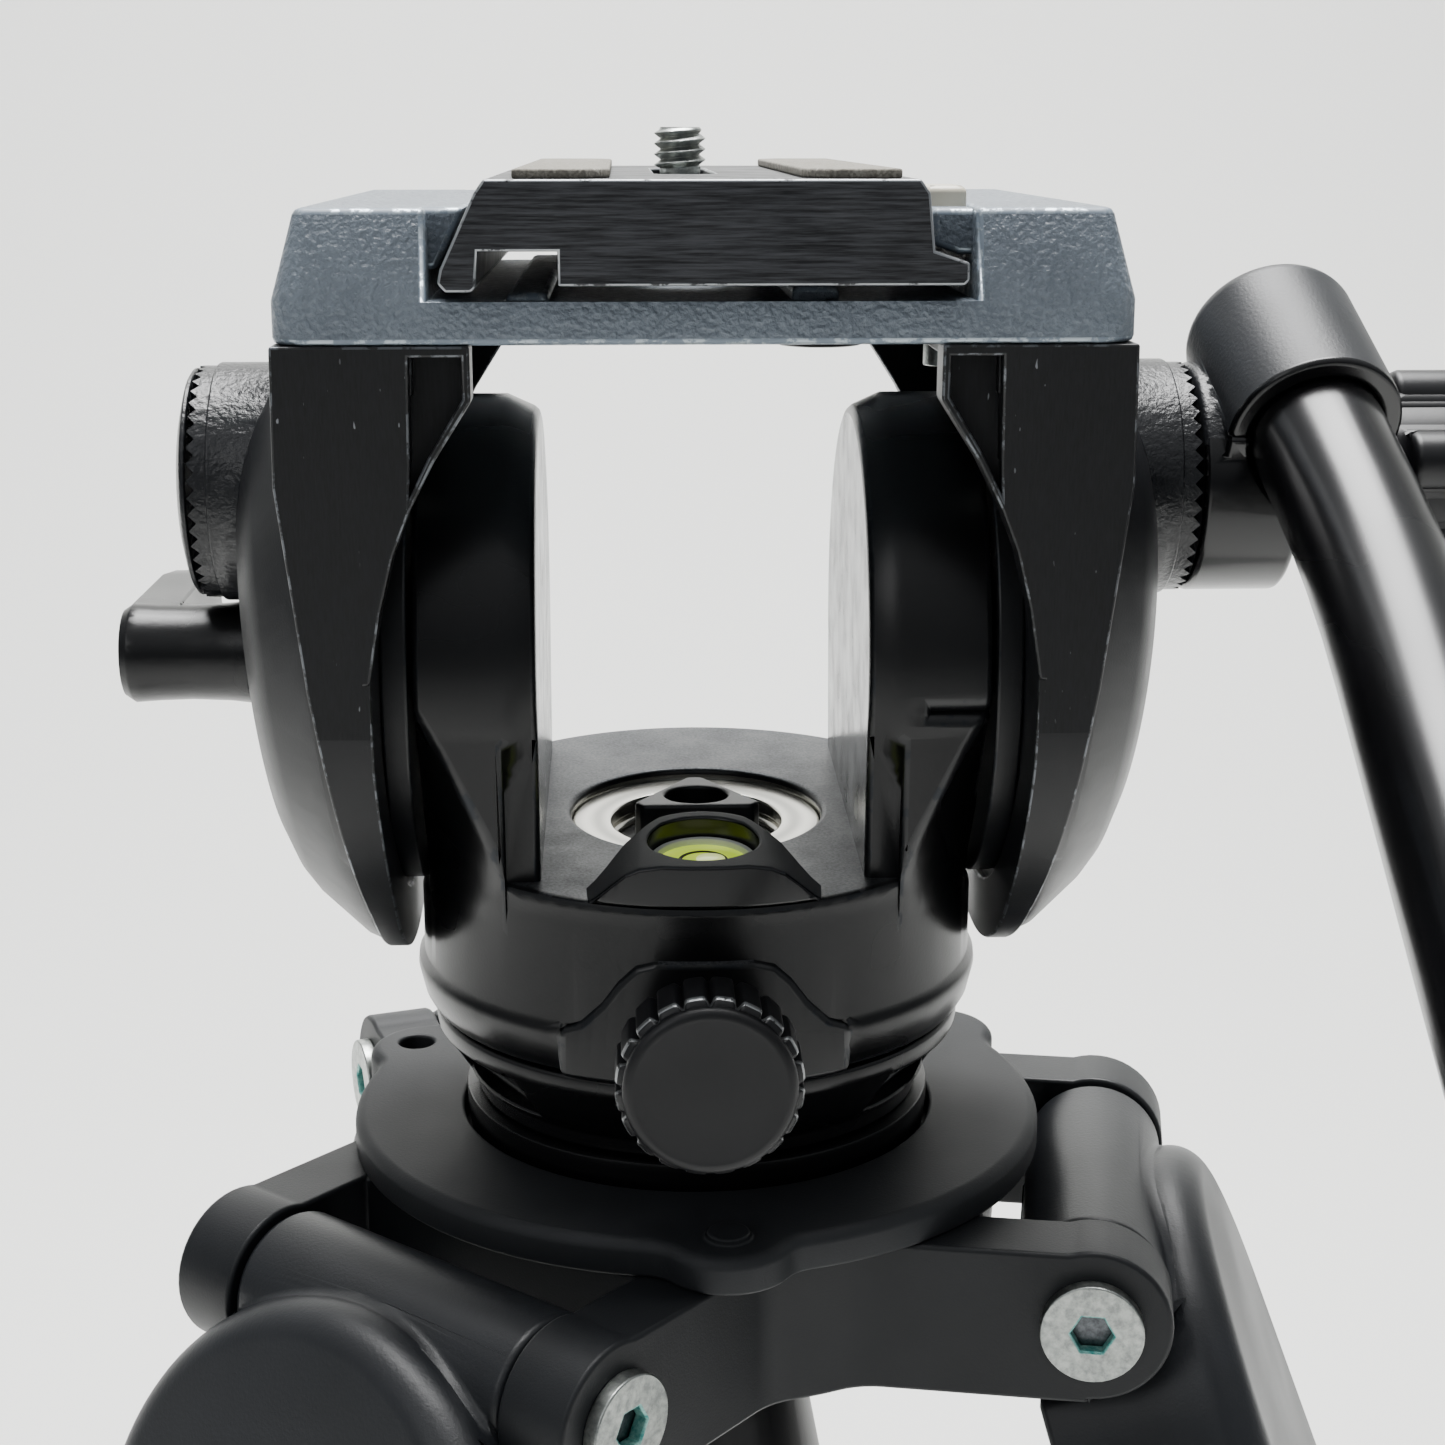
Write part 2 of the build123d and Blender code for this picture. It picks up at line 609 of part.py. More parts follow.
def leg_shoulder():
    """Casting that hinges in the crown and holds the twin tubes."""
    outline = Pos(0, -28.0) * Circle(31.5)
    outline += Pos(0, -46.0) * Rectangle(63.0, 36.0)
    outline += Pos(0, -68.0) * Rectangle(60.0, 26.0)
    outline = Plane.YZ.offset(-10.5) * outline
    body = extrude(outline, amount=25.0)
    front = body.faces().sort_by(Axis.X)[-1]
    body = fillet(front.edges(), 5.0)
    nose = rod_y(ear_radius + 0.7, 21.8, 40.0) + rod_y(ear_radius + 0.7, -40.0, -21.8)
    body -= nose
    for lean in (0, 11, 22):
        for side in (-1, 1):
            reach = slab(-40.0, 0.0, 0, 18.5, -ear_radius - 0.7, 45.0)
            reach = Pos(0, 21.8 if side > 0 else -40.3, 0) * reach
            body -= Rot(0, lean, 0) * reach
    body -= slab(-20.0, 40.0, -40.0, 40.0, 0.0, 60.0) - slab(-1.0, 50.0, -45.0, 45.0, -1, 10.0)
    for lean in (0, 11, 22):
        body -= Rot(0, lean, 0) * slab(-40.0, -9.4, -22.5, 22.5, -10.6, 30.0)
    body += rod_y(9.0, -barrel_half, barrel_half)
    body -= rod_y(axle_radius + running, -50.0, 50.0)
    for y in (-tube_offset, tube_offset):
        body -= rod_z(tube_radius, -90.0, -52.0, 0, y)
    body -= slab(-20.0, 7.5, -10.9, 10.9, -90.0, -44.0)
    return body


def upper_tubes():
    tubes = []
    for y in (-tube_offset, tube_offset):
        tube = rod_z(tube_radius, -398.0, -52.0, 0, y)
        tubes.append(tube - rod_z(tube_radius - tube_wall, -400.0, -50.0, 0, y))
    return tubes


def leg_collar():
    """Casting at the foot of the twin tubes, with the clamp for the lower tube."""
    body = extrude(Pos(0, 0, -412.0) * RectangleRounded(25.0, 60.0, 9.0), amount=40.0)
    body += extrude(Pos(0.5, 0, -438.0) * RectangleRounded(28.0, 32.0, 6.0), amount=58.0)
    for y in (-tube_offset, tube_offset):
        body -= rod_z(tube_radius, -398.0, -360.0, 0, y)
    body -= rod_z(lower_radius + 0.08, -450.0, -360.0)
    return body - slab(9.0, 20.0, -0.8, 0.8, -440.0, -405.0)


def leg_lock_lever():
    """Flip lever on the front of the collar."""
    plate = slab(15.5, 19.5, -9.0, 9.0, -425.5, -384.0) + rod_y(2.0, -9.0, 9.0, 17.5, -425.5)
    return plate + prism_y([(15.5, -384.0), (19.5, -384.0), (22.5, -379.0), (20.0, -378.0)], -9.0, 9.0)


def spreader_bracket():
    """Clamp round the twin tubes with the eye for the spreader arm."""
    low = -bracket_down - 9.0
    high = -bracket_down + 9.0
    body = slab(-13.6, -8.0, -20.0, 20.0, low, high)
    for y in (-tube_offset, tube_offset):
        body += rod_z(11.0, low, high, 0, y)
    body -= rod_z(lower_radius + 0.8, low - 1, high + 1)
    for y in (-tube_offset, tube_offset):
        body -= rod_z(tube_radius, low - 1, high + 1, 0, y)
    lug = slab(-lug_reach, -12.0, -4.0, 4.0, -bracket_down - 6.0, -bracket_down + 6.0)
    lug += rod_y(6.0, -4.0, 4.0, -lug_reach, -bracket_down)
    return body + lug


def lower_tube():
    tube = rod_z(lower_radius, -668.0, -95.0) - rod_z(lower_radius - 1.3, -669.0, -97.0)
    return tube


def foot(leg_turn):
    """Rubber shoe, flat on the floor, round the end of the lower tube."""
    middle = pivot_radius + (pivot_height - 14.0) * tan(radians(leg_spread))
    sole = rod_z(17.5, 0.0, 12.0, middle, 0) + Pos(middle, 0, 12.0) * Sphere(18.5)
    sole = sole & slab(middle - 30, middle + 30, -30, 30, 0.0, 40.0)
    neck = spread(rod_z(13.0, -676.0, -634.0))
    shoe = sole + neck - slab(middle - 40, middle + 60, -40, 40, -20.0, 0.0)
    shoe -= spread(rod_z(lower_radius, -668.0, -600.0))
    return leg_turn * shoe


# ---------------------------------------------------------------- spreader

def spreader_sizes():
    """Arm length and hub height that close the linkage with the legs spread."""
    lean = radians(leg_spread)
    eye_radius = pivot_radius + bracket_down * sin(lean) - lug_reach * cos(lean)
    eye_z = pivot_height - bracket_down * cos(lean) - lug_reach * sin(lean)
    length = (eye_radius - hub_radius) / cos(radians(arm_droop))
    return length, eye_z + length * sin(radians(arm_droop))


def spreader_hub():
    """Three-way hub with a clevis for each arm and a pull loop on top."""
    hub_z = spreader_sizes()[1]
    hub = rod_z(14.5, hub_z - 6.0, hub_z + 6.0)
    for angle in leg_angles:
        fork = slab(8.0, hub_radius, -8.0, 8.0, hub_z - 6.0, hub_z + 6.0)
        fork += rod_y(6.0, -8.0, 8.0, hub_radius, hub_z)
        fork -= slab(14.0, 40.0, -4.3, 4.3, hub_z - 10.0, hub_z + 10.0)
        hub += Rot(0, 0, angle) * fork
    for angle in leg_angles:
        hub -= Rot(0, 0, angle) * slab(14.8, 40.0, -4.3, 4.3, hub_z - 10.0, hub_z + 10.0)
        hub -= Rot(0, 0, angle) * rod_y(1.6, -12.0, 12.0, hub_radius, hub_z)
    post = rod_z(6.0, hub_z + 5.0, hub_z + 16.0) + rod_z(9.5, hub_z + 16.0, hub_z + 21.0)
    return hub + post


def hub_pins():
    hub_z = spreader_sizes()[1]
    return group(
        Rot(0, 0, angle) * rod_y(1.6, -8.6, 8.6, hub_radius, hub_z)
        for angle in leg_angles
    )


def spreader_arm():
    """Arm with a tongue in the hub and two cheeks astride the bracket's lug."""
    arm_length, hub_z = spreader_sizes()
    arm = slab(0.0, arm_length - 22.0, -4.0, 4.0, -4.5, 4.5) + rod_y(4.5, -4.0, 4.0)
    for y in (-6.6, 4.6):
        strip = slab(arm_length - 40.0, arm_length, y, y + 2.0, -5.0, 5.0)
        strip += rod_y(5.0, y, y + 2.0, arm_length, 0)
        arm += strip
    arm += slab(arm_length - 40.0, arm_length - 24.0, -5.0, 5.0, -4.5, 4.5)
    arm -= rod_y(1.6 + running, -10.0, 10.0)
    for side in (-1, 1):
        arm += rod_y(3.2, side * 6.6, side * 7.6, arm_length, 0)
    return Pos(hub_radius, 0, hub_z) * Rot(0, arm_droop, 0) * arm


def write(name, shape):
    export_step(shape, "parts/" + name + ".step")


os.makedirs("parts", exist_ok=True)

single_parts = {
    "camera_plate": camera_plate, "grip_pads": grip_pads, "camera_screw": camera_screw,
    "platform": platform, "arm_right": arm_right, "arm_left": arm_left,
    "rosette_cap": rosette_cap, "arm_screws": arm_screws, "tilt_shafts": tilt_shafts,
    "tilt_flanges": tilt_flanges, "drag_discs": drag_discs,
    "counterbalance_spring": counterbalance_spring, "tilt_lock_lever": tilt_lock_lever,
    "plate_lock_lever": plate_lock_lever, "plate_release_button": plate_release_button,
    "pan_bar_clamp": pan_bar_clamp, "pan_bar": pan_bar, "bar_grip": bar_grip,
    "bar_cap": bar_cap, "clamp_knob": clamp_knob, "yoke": yoke, "bearing_ring": bearing_ring,
    "pan_nut": pan_nut, "bubble_bezel": bubble_bezel, "bubble_vial": bubble_vial,
    "pan_lock_knob": pan_lock_knob, "pan_base": pan_base, "half_ball": half_ball,
    "tie_down_stud": tie_down_stud, "tie_down_knob": tie_down_knob, "ring_plate": ring_plate,
    "crown_casting": crown_casting, "hinge_axles": hinge_axles, "hinge_bolts": hinge_bolts,
    "spreader_hub": spreader_hub, "hub_pins": hub_pins,
}
for part_name, make in single_parts.items():
    write(part_name, make())

shoulder = spread(leg_shoulder())
tubes = [spread(tube) for tube in upper_tubes()]
collar = spread(leg_collar())
lever = spread(leg_lock_lever())
bracket = spread(spreader_bracket())
inner_tube = spread(lower_tube())
arm = spreader_arm()
for number, angle in enumerate(leg_angles, start=1):
    turn = Rot(0, 0, angle)
    write(f"leg_shoulder_{number}", turn * shoulder)
    write(f"upper_tubes_{number}", group(turn * tube for tube in tubes))
    write(f"leg_collar_{number}", turn * collar)
    write(f"leg_lock_lever_{number}", turn * lever)
    write(f"spreader_bracket_{number}", turn * bracket)
    write(f"lower_tube_{number}", turn * inner_tube)
    write(f"foot_{number}", foot(turn))
    write(f"spreader_arm_{number}", turn * arm)
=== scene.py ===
# %% [markdown]
# # A video tripod with a bridging fluid head
# The head is a cast block on two side arms, which tilt between the cheeks of a yoke.
# Everything that carries load was designed elsewhere and comes in as a frame of fixed
# parts. This lesson gives those parts their edges, threads, teeth and finishes.

# %% Load the frame
import bmesh
import bpy
import json
from math import cos, hypot, pi, radians, sin
from mathutils import Matrix, Vector


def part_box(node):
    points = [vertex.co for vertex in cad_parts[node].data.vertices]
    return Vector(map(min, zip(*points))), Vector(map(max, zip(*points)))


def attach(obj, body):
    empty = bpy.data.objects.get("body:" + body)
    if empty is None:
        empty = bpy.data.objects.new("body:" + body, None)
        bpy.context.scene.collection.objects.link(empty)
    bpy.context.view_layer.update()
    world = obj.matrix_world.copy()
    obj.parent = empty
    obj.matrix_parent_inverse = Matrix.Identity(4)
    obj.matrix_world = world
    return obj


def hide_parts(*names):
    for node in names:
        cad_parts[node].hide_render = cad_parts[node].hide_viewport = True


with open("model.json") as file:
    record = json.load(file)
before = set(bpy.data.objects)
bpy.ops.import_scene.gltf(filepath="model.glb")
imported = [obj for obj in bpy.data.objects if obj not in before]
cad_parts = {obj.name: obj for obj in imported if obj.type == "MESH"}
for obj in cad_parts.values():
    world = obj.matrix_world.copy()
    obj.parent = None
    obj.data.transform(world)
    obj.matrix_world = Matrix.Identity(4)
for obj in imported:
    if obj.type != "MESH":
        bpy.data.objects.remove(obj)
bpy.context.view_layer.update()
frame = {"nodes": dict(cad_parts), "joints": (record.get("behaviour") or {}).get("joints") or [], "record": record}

MM = 0.001
joints = {joint["name"]: joint for joint in frame["joints"]}
bodies = frame["record"]["behaviour"]["bodies"]
home = {node: body for body, nodes in bodies.items() for node in nodes}

# %% [markdown]
# ## Where things are
# A maker measures from axes, not from corners. The joints give the tilt axis, the
# rosettes' axis and the leg hinges, and the plate's top gives the height of the head.
# The pan bar's socket and the level lean, so each has a direction or a frame of its own.

# %% Axes and heights
tilt_axis = Vector(joints["head_tilt"]["pos_m"])
rosette_axis = Vector(joints["handle_swivel"]["pos_m"])
legs = (1, 2, 3)
hinges = [joints[f"leg_{number}_fold"] for number in legs]
plate_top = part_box("camera_plate")[1].z
print("plate top at", round(plate_top / MM, 1), "mm, tilt axis at", round(tilt_axis.z / MM, 1), "mm")

# %% Parts that lean
bar_drop, bar_swing = radians(30.6), radians(5.7)
bar_way = Vector((
    sin(bar_swing) * cos(bar_drop),
    -cos(bar_swing) * cos(bar_drop),
    -sin(bar_drop)))
socket_mouth = Vector((73.3 * MM, -13.4 * MM, plate_top - 30.2 * MM))
level_centre = (0, -26.5 * MM, plate_top - 75.3 * MM)
level_lean = radians(6)
level_place = Matrix.Translation(level_centre) @ Matrix.Rotation(level_lean, 4, "X")
print("the bar points along", [round(v, 2) for v in bar_way])

# %% [markdown]
# ## Helpers for finishes
# A finish is a short recipe of shader nodes. Colours are written as a designer reads
# them, in sRGB hex, so one function turns them into the linear light that shaders use.
# One more adds a node, sets it and links it. Pattern sizes are real ones in millimetres.

# %% Colour, node and material helpers
def linear(hex_colour):
    """Linear colour with full opacity from an sRGB hex value."""
    channels = [int(hex_colour[i:i + 2], 16) / 255 for i in (1, 3, 5)]
    return [c / 12.92 if c <= 0.04045 else ((c + 0.055) / 1.055) ** 2.4 for c in channels] + [1.0]


def add(tree, kind, inputs=None, **settings):
    """Adds a node. An input that is given a socket is linked, and any other is set."""
    made = tree.nodes.new(kind)
    for name, value in settings.items():
        setattr(made, name, value)
    for name, value in (inputs or {}).items():
        if isinstance(value, bpy.types.NodeSocket):
            tree.links.new(value, made.inputs[name])
        else:
            made.inputs[name].default_value = value
    return made


def start_material(name, **shader):
    """A Principled material; returns it with its tree, shader and object coordinates."""
    material = bpy.data.materials.new(name)
    material.use_nodes = True
    tree = material.node_tree
    tree.nodes.clear()
    names = {key.replace("_", " "): value for key, value in shader.items()}
    bsdf = add(tree, "ShaderNodeBsdfPrincipled", names)
    add(tree, "ShaderNodeOutputMaterial", {"Surface": bsdf.outputs[0]})
    place = add(tree, "ShaderNodeTexCoord").outputs["Object"]
    return material, tree, bsdf, place


print("mid grey #808080 is", round(linear("#808080")[0], 3), "in linear light")

# %% Pattern helpers
def grain(tree, place, size_mm, stretch=(1, 1, 1), detail=2.0, rough=0.5):
    """Noise whose blotches are about size_mm across, drawn out along an axis by stretch."""
    scale = [1 / (size_mm * MM * s) for s in stretch]
    mapped = add(tree, "ShaderNodeMapping", {"Vector": place, "Scale": scale})
    noise = add(tree, "ShaderNodeTexNoise", {
        "Vector": mapped.outputs[0], "Scale": 1.0, "Detail": detail, "Roughness": rough})
    return noise.outputs[0]


def between(tree, value, low, high, to_low=0.0, to_high=1.0):
    """Stretches value so that low to high becomes to_low to to_high."""
    ranged = add(tree, "ShaderNodeMapRange", {
        0: value, 1: low, 2: high, 3: to_low, 4: to_high})
    return ranged.outputs[0]


def tint(tree, amount, first, second):
    """Two hex colours, or sockets, mixed by amount."""
    ends = [linear(c) if isinstance(c, str) else c for c in (first, second)]
    mixed = add(tree, "ShaderNodeMixRGB", {"Fac": amount, "Color1": ends[0], "Color2": ends[1]})
    return mixed.outputs[0]


def relief(tree, bsdf, height, depth_mm, strength=1.0):
    """Bump of a real depth."""
    bump = add(tree, "ShaderNodeBump", {
        "Height": height, "Distance": depth_mm * MM, "Strength": strength})
    tree.links.new(bump.outputs[0], bsdf.inputs["Normal"])


print("patterns: grain, between, tint, relief")

# %% [markdown]
# ## Powder coats and paints
# Powder coat is plastic dust melted onto the metal. A hammered enamel pulls itself into
# small blisters as it cures; a satin coat stays almost smooth. Both are plastic to light,
# so they are not metallic, and an IOR of about 1.5 gives their gloss. The blisters could
# be modelled, but they are too many and too shallow, so noise as bump draws them.

# %% Hammered enamel, blue-grey
def hammered_enamel():
    """Blisters 0.7 mm across on the camera block, with a painted highlight that makes their crowns a shade paler.
    """
    material, tree, bsdf, place = start_material("hammered_enamel_blue_grey", IOR=1.5)
    blister = grain(tree, place, 0.7, detail=1.5, rough=0.45)
    fine = grain(tree, place, 0.16, detail=2.0)
    cloud = grain(tree, place, 9.0, detail=3.0)
    fine_share = 0.22
    height = add(tree, "ShaderNodeMath", {0: fine, 1: fine_share, 2: blister}, operation="MULTIPLY_ADD")
    base = tint(tree, between(tree, cloud, 0.3, 0.7), "#626b75", "#6f7983")
    # Painted highlight: the blisters' crowns are tinted paler.
    colour = tint(tree, between(tree, blister, 0.5, 0.68, 0.0, 0.3), base, "#87919b")
    tree.links.new(colour, bsdf.inputs["Base Color"])
    tree.links.new(between(tree, blister, 0.35, 0.65, 0.46, 0.28), bsdf.inputs["Roughness"])
    relief(tree, bsdf, height.outputs[0], 0.55, 0.9)
    return material


print("hammered enamel ready")

# %% Smooth coats and moulded plastics
def fine_coat(name, dark, light, grain_mm, depth_mm, rough_low, rough_high, coat=0.0, ior=1.5):
    """A nearly even colour with faint clouding and uneven gloss, and a fine tooth, which
    is drawn a little coarser than the real one so that it shows."""
    material, tree, bsdf, place = start_material(name, IOR=ior, Coat_Weight=coat, Coat_Roughness=0.1)
    tooth = grain(tree, place, grain_mm, detail=3.0, rough=0.6)
    cloud = grain(tree, place, 14.0, detail=4.0, rough=0.55)
    handled = grain(tree, place, 33.0, stretch=(1, 1, 0.6), detail=2.0)
    colour = tint(tree, between(tree, cloud, 0.32, 0.68), dark, light)
    tree.links.new(colour, bsdf.inputs["Base Color"])
    tree.links.new(between(tree, handled, 0.3, 0.7, rough_low, rough_high), bsdf.inputs["Roughness"])
    relief(tree, bsdf, tooth, depth_mm, 0.6)
    return material


def scratched_coat(name, dark, light, scratch, rough):
    """Black coat on a faced casting: fine upright lines and a few short pale scratches."""
    material, tree, bsdf, place = start_material(name, IOR=1.36)
    lines = grain(tree, place, 0.22, stretch=(1, 1, 16), detail=3.0, rough=0.65)
    nicks = grain(tree, place, 0.5, stretch=(1, 1, 3.5), detail=1.0)
    wear = grain(tree, place, 8.0, detail=2.0)
    deepest = between(tree, nicks, 0.76, 0.8)
    handled = between(tree, wear, 0.5, 0.6)
    rare = add(tree, "ShaderNodeMath", {0: deepest, 1: handled}, operation="MULTIPLY").outputs[0]
    colour = tint(tree, between(tree, lines, 0.35, 0.65), dark, light)
    tree.links.new(tint(tree, rare, colour, scratch), bsdf.inputs["Base Color"])
    tree.links.new(between(tree, lines, 0.3, 0.7, rough - 0.07, rough + 0.07), bsdf.inputs["Roughness"])
    relief(tree, bsdf, lines, 0.03, 0.6)
    return material


print("coats ready: fine_coat, scratched_coat")

# %% [markdown]
# ## Wear
# Paint goes first where two faces meet, because the film is thin there and hands and
# cases rub it. A shader can look for edges, but what it finds depends on how finely the
# mesh is cut. So the narrow rounded edges of a part get a finish of their own, in which
# bare metal shows through in broken lengths.

# %% Rubbed edges
def rubbed_edge(name, paint, metal, amount, grain_mm=2.2, rough=0.42):
    """Paint with bare metal showing through along it; amount 0 is none, 1 is all."""
    material, tree, bsdf, place = start_material(name)
    patches = grain(tree, place, grain_mm, detail=4.0, rough=0.7)
    threshold = 0.62 - 0.3 * amount
    bare = between(tree, patches, threshold, threshold + 0.06)
    tree.links.new(tint(tree, bare, paint, metal), bsdf.inputs["Base Color"])
    tree.links.new(between(tree, bare, 0, 1, 0.0, 0.85), bsdf.inputs["Metallic"])
    tree.links.new(between(tree, bare, 0, 1, rough, 0.34), bsdf.inputs["Roughness"])
    relief(tree, bsdf, patches, 0.03, 0.5)
    return material


print("rubbed edge ready")

# %% [markdown]
# ## Bare and plated metal
# Brushing and grinding leave fine parallel lines, which are noise drawn out along one
# axis. A lathe leaves rings, which the wave texture draws. Zinc plate is a soft grey with
# a faint bloom, and steel at a bearing is bright.

# %% Brushed, turned and plated metals
def lined_metal(name, dark, light, line_mm, stretch, roughness, metallic=1.0, depth_mm=0.01):
    """Metal with lines along the long axis of stretch, drawn coarse enough to show."""
    material, tree, bsdf, place = start_material(name, Metallic=metallic)
    lines = grain(tree, place, line_mm, stretch=stretch, detail=4.0, rough=0.65)
    cloud = grain(tree, place, 6.0, detail=3.0)
    colour = tint(tree, between(tree, lines, 0.35, 0.65), dark, light)
    tree.links.new(colour, bsdf.inputs["Base Color"])
    bloom = between(tree, cloud, 0.3, 0.7, roughness - 0.06, roughness + 0.08)
    tree.links.new(bloom, bsdf.inputs["Roughness"])
    relief(tree, bsdf, lines, depth_mm, 0.5)
    return material


def turned_metal(name, dark, light, ring_mm, roughness):
    """Metal faced in a lathe: rings about the pan axis, coarser than real ones so they show."""
    material, tree, bsdf, place = start_material(name, Metallic=1.0, Roughness=roughness)
    # The wave texture turns through 20 radians in each unit of length at scale 1.
    rings = add(tree, "ShaderNodeTexWave", {
        "Vector": place, "Scale": 2 * pi / (20 * ring_mm * MM), "Distortion": 0.6, "Detail": 2.0},
        wave_type="RINGS", rings_direction="Z")
    lines = rings.outputs["Fac"]
    tree.links.new(tint(tree, lines, dark, light), bsdf.inputs["Base Color"])
    relief(tree, bsdf, lines, 0.01, 0.5)
    return material


print("metals ready: lined_metal, turned_metal")

# %% [markdown]
# ## Cork and spirit
# The camera rests on strips of cork crumbs bound with rubber. A Voronoi texture gives
# each crumb a shade of its own. The level holds dyed spirit, which gathers light and
# seems to glow. Glass in front of it would need light to pass through two layers, so the
# spirit is a glossy surface with a little light of its own.

# %% Cork rubber and dyed spirit
def cork_rubber():
    """Rubber bonded cork: pale crumbs 0.55 mm across in a darker binder."""
    material, tree, bsdf, place = start_material("cork_rubber", Roughness=0.9)
    crumb_mm = 0.55
    crumbs = add(tree, "ShaderNodeTexVoronoi", {"Vector": place, "Scale": 1 / (crumb_mm * MM)})
    fine = grain(tree, place, 0.3)
    shade = add(tree, "ShaderNodeSeparateColor", {0: crumbs.outputs["Color"]}).outputs[0]
    colour = tint(tree, shade, "#7f7b72", "#a5a196")
    colour = tint(tree, between(tree, fine, 0.4, 0.7), colour, "#6f6b63")
    tree.links.new(colour, bsdf.inputs["Base Color"])
    relief(tree, bsdf, crumbs.outputs["Distance"], 0.1, 0.5)
    return material


def spirit(name, dark, light):
    """The level's dyed spirit: bright yellow-green that looks lit from inside."""
    material, tree, bsdf, place = start_material(
        name, Roughness=0.12, IOR=1.36, Emission_Strength=1.0, Coat_Weight=1.0)
    cloud = grain(tree, place, 5.0, detail=1.0)
    colour = tint(tree, between(tree, cloud, 0.3, 0.7), dark, light)
    tree.links.new(colour, bsdf.inputs["Base Color"])
    tree.links.new(colour, bsdf.inputs["Emission Color"])
    return material


print("cork and spirit ready")

# %% [markdown]
# ## One finish for each way a surface was made
# The head is almost all black, so what tells its parts apart is how each black was made:
# powder coat, enamel, faced metal, nylon, moulded plastic, rubber. Colours stay close and
# gloss does the work. Each recipe is mixed once and shared by the parts that have it.

# %% Coats and plastics
finish = {
    # Hammered enamel: small blisters that break the light into dots, with a painted highlight on their crowns.
    "hammered": hammered_enamel(),
    # Satin powder coat: broad, soft highlights on the arms.
    "arm_coat": fine_coat(
        "satin_powder_coat_black", "#0c0d0f", "#121316", 0.25, 0.03, 0.34, 0.46, ior=1.42),
    # Coat over a faced casting: deep black with a few pale scratches.
    "faced_coat": scratched_coat("faced_and_coated_black", "#08090a", "#141518", "#7d8084", 0.5),
    # Enamel on a smooth casting: the deepest black, with long clear highlights.
    "cast_coat": fine_coat(
        "semi_gloss_enamel_on_casting", "#070708", "#0c0c0e", 0.4, 0.02, 0.24, 0.34, ior=1.45),
    # Pebbled paint: a leathery skin that glitters in bright light.
    "pebble": fine_coat("pebbled_black_paint", "#101114", "#17181b", 0.8, 0.3, 0.26, 0.34),
    # Moulded nylon: glass fibres leave it matte and a little grey.
    "nylon": fine_coat(
        "glass_filled_nylon_black", "#121417", "#191b1e", 0.3, 0.05, 0.42, 0.56, ior=1.42),
    # Powder coat on the leg shoulders: greyer and smoother than the nylon beside it.
    "shoulder": fine_coat(
        "powder_coated_shoulder_black", "#17191c", "#1e2024", 0.45, 0.06, 0.36, 0.48),
    # Moulded ABS: smooth, with a soft even sheen.
    "abs": fine_coat("moulded_abs_black", "#0b0b0d", "#111114", 0.5, 0.015, 0.34, 0.46, ior=1.45),
    # Plastic from a textured mould: greyer, with almost no highlight.
    "matte": fine_coat("matte_moulded_lid", "#1a1c1f", "#222427", 0.3, 0.05, 0.52, 0.64, ior=1.45),
    # Stove enamel on the bar: sharp highlights under a thin clear film.
    "gloss": fine_coat(
        "gloss_black_enamel", "#050506", "#08080a", 0.8, 0.004, 0.2, 0.3, coat=0.12),
    # Moulded nitrile: dull, and slightly dusty.
    "rubber": fine_coat(
        "nitrile_rubber_black", "#101011", "#171718", 0.6, 0.05, 0.6, 0.78, ior=1.52),
    # Machined acetal: a smooth waxy cream.
    "cream": fine_coat("acetal_cream", "#cfc7b0", "#dcd5c2", 0.6, 0.01, 0.22, 0.32),
    # Moulded white plastic: clean and slightly glossy.
    "white_ring": fine_coat("moulded_ring_white", "#c9ccc6", "#dcded8", 0.5, 0.01, 0.3, 0.4),
}
print(len(finish), "coats and plastics")

# %% Worn edges
finish.update({
    # Broken bright lines along the arms' machined corners.
    "edge_black": rubbed_edge("rubbed_edge_on_black", "#121315", "#66696d", 0.42, 3.0),
    # Paint polished thin but hardly broken, on edges that nobody touches.
    "edge_soft": rubbed_edge("soft_edge_on_black", "#101113", "#303235", 0.3, 4.0, 0.3),
    # The knob's rib ends, worn pale by fingers.
    "edge_knob": rubbed_edge("rubbed_rib_ends", "#1d1e20", "#9c9e9f", 0.75, 1.2, 0.5),
    # The block's corners, where the enamel is thin and paler.
    "edge_blue": rubbed_edge("rubbed_edge_on_blue_grey", "#77838f", "#a9b3bb", 0.45, rough=0.45),
    # The plate's edges, which are almost bare.
    "edge_plate": rubbed_edge("bare_edge_on_anodising", "#2c2d30", "#9fa2a5", 0.75, 3.5),
})
print(len(finish), "finishes so far")

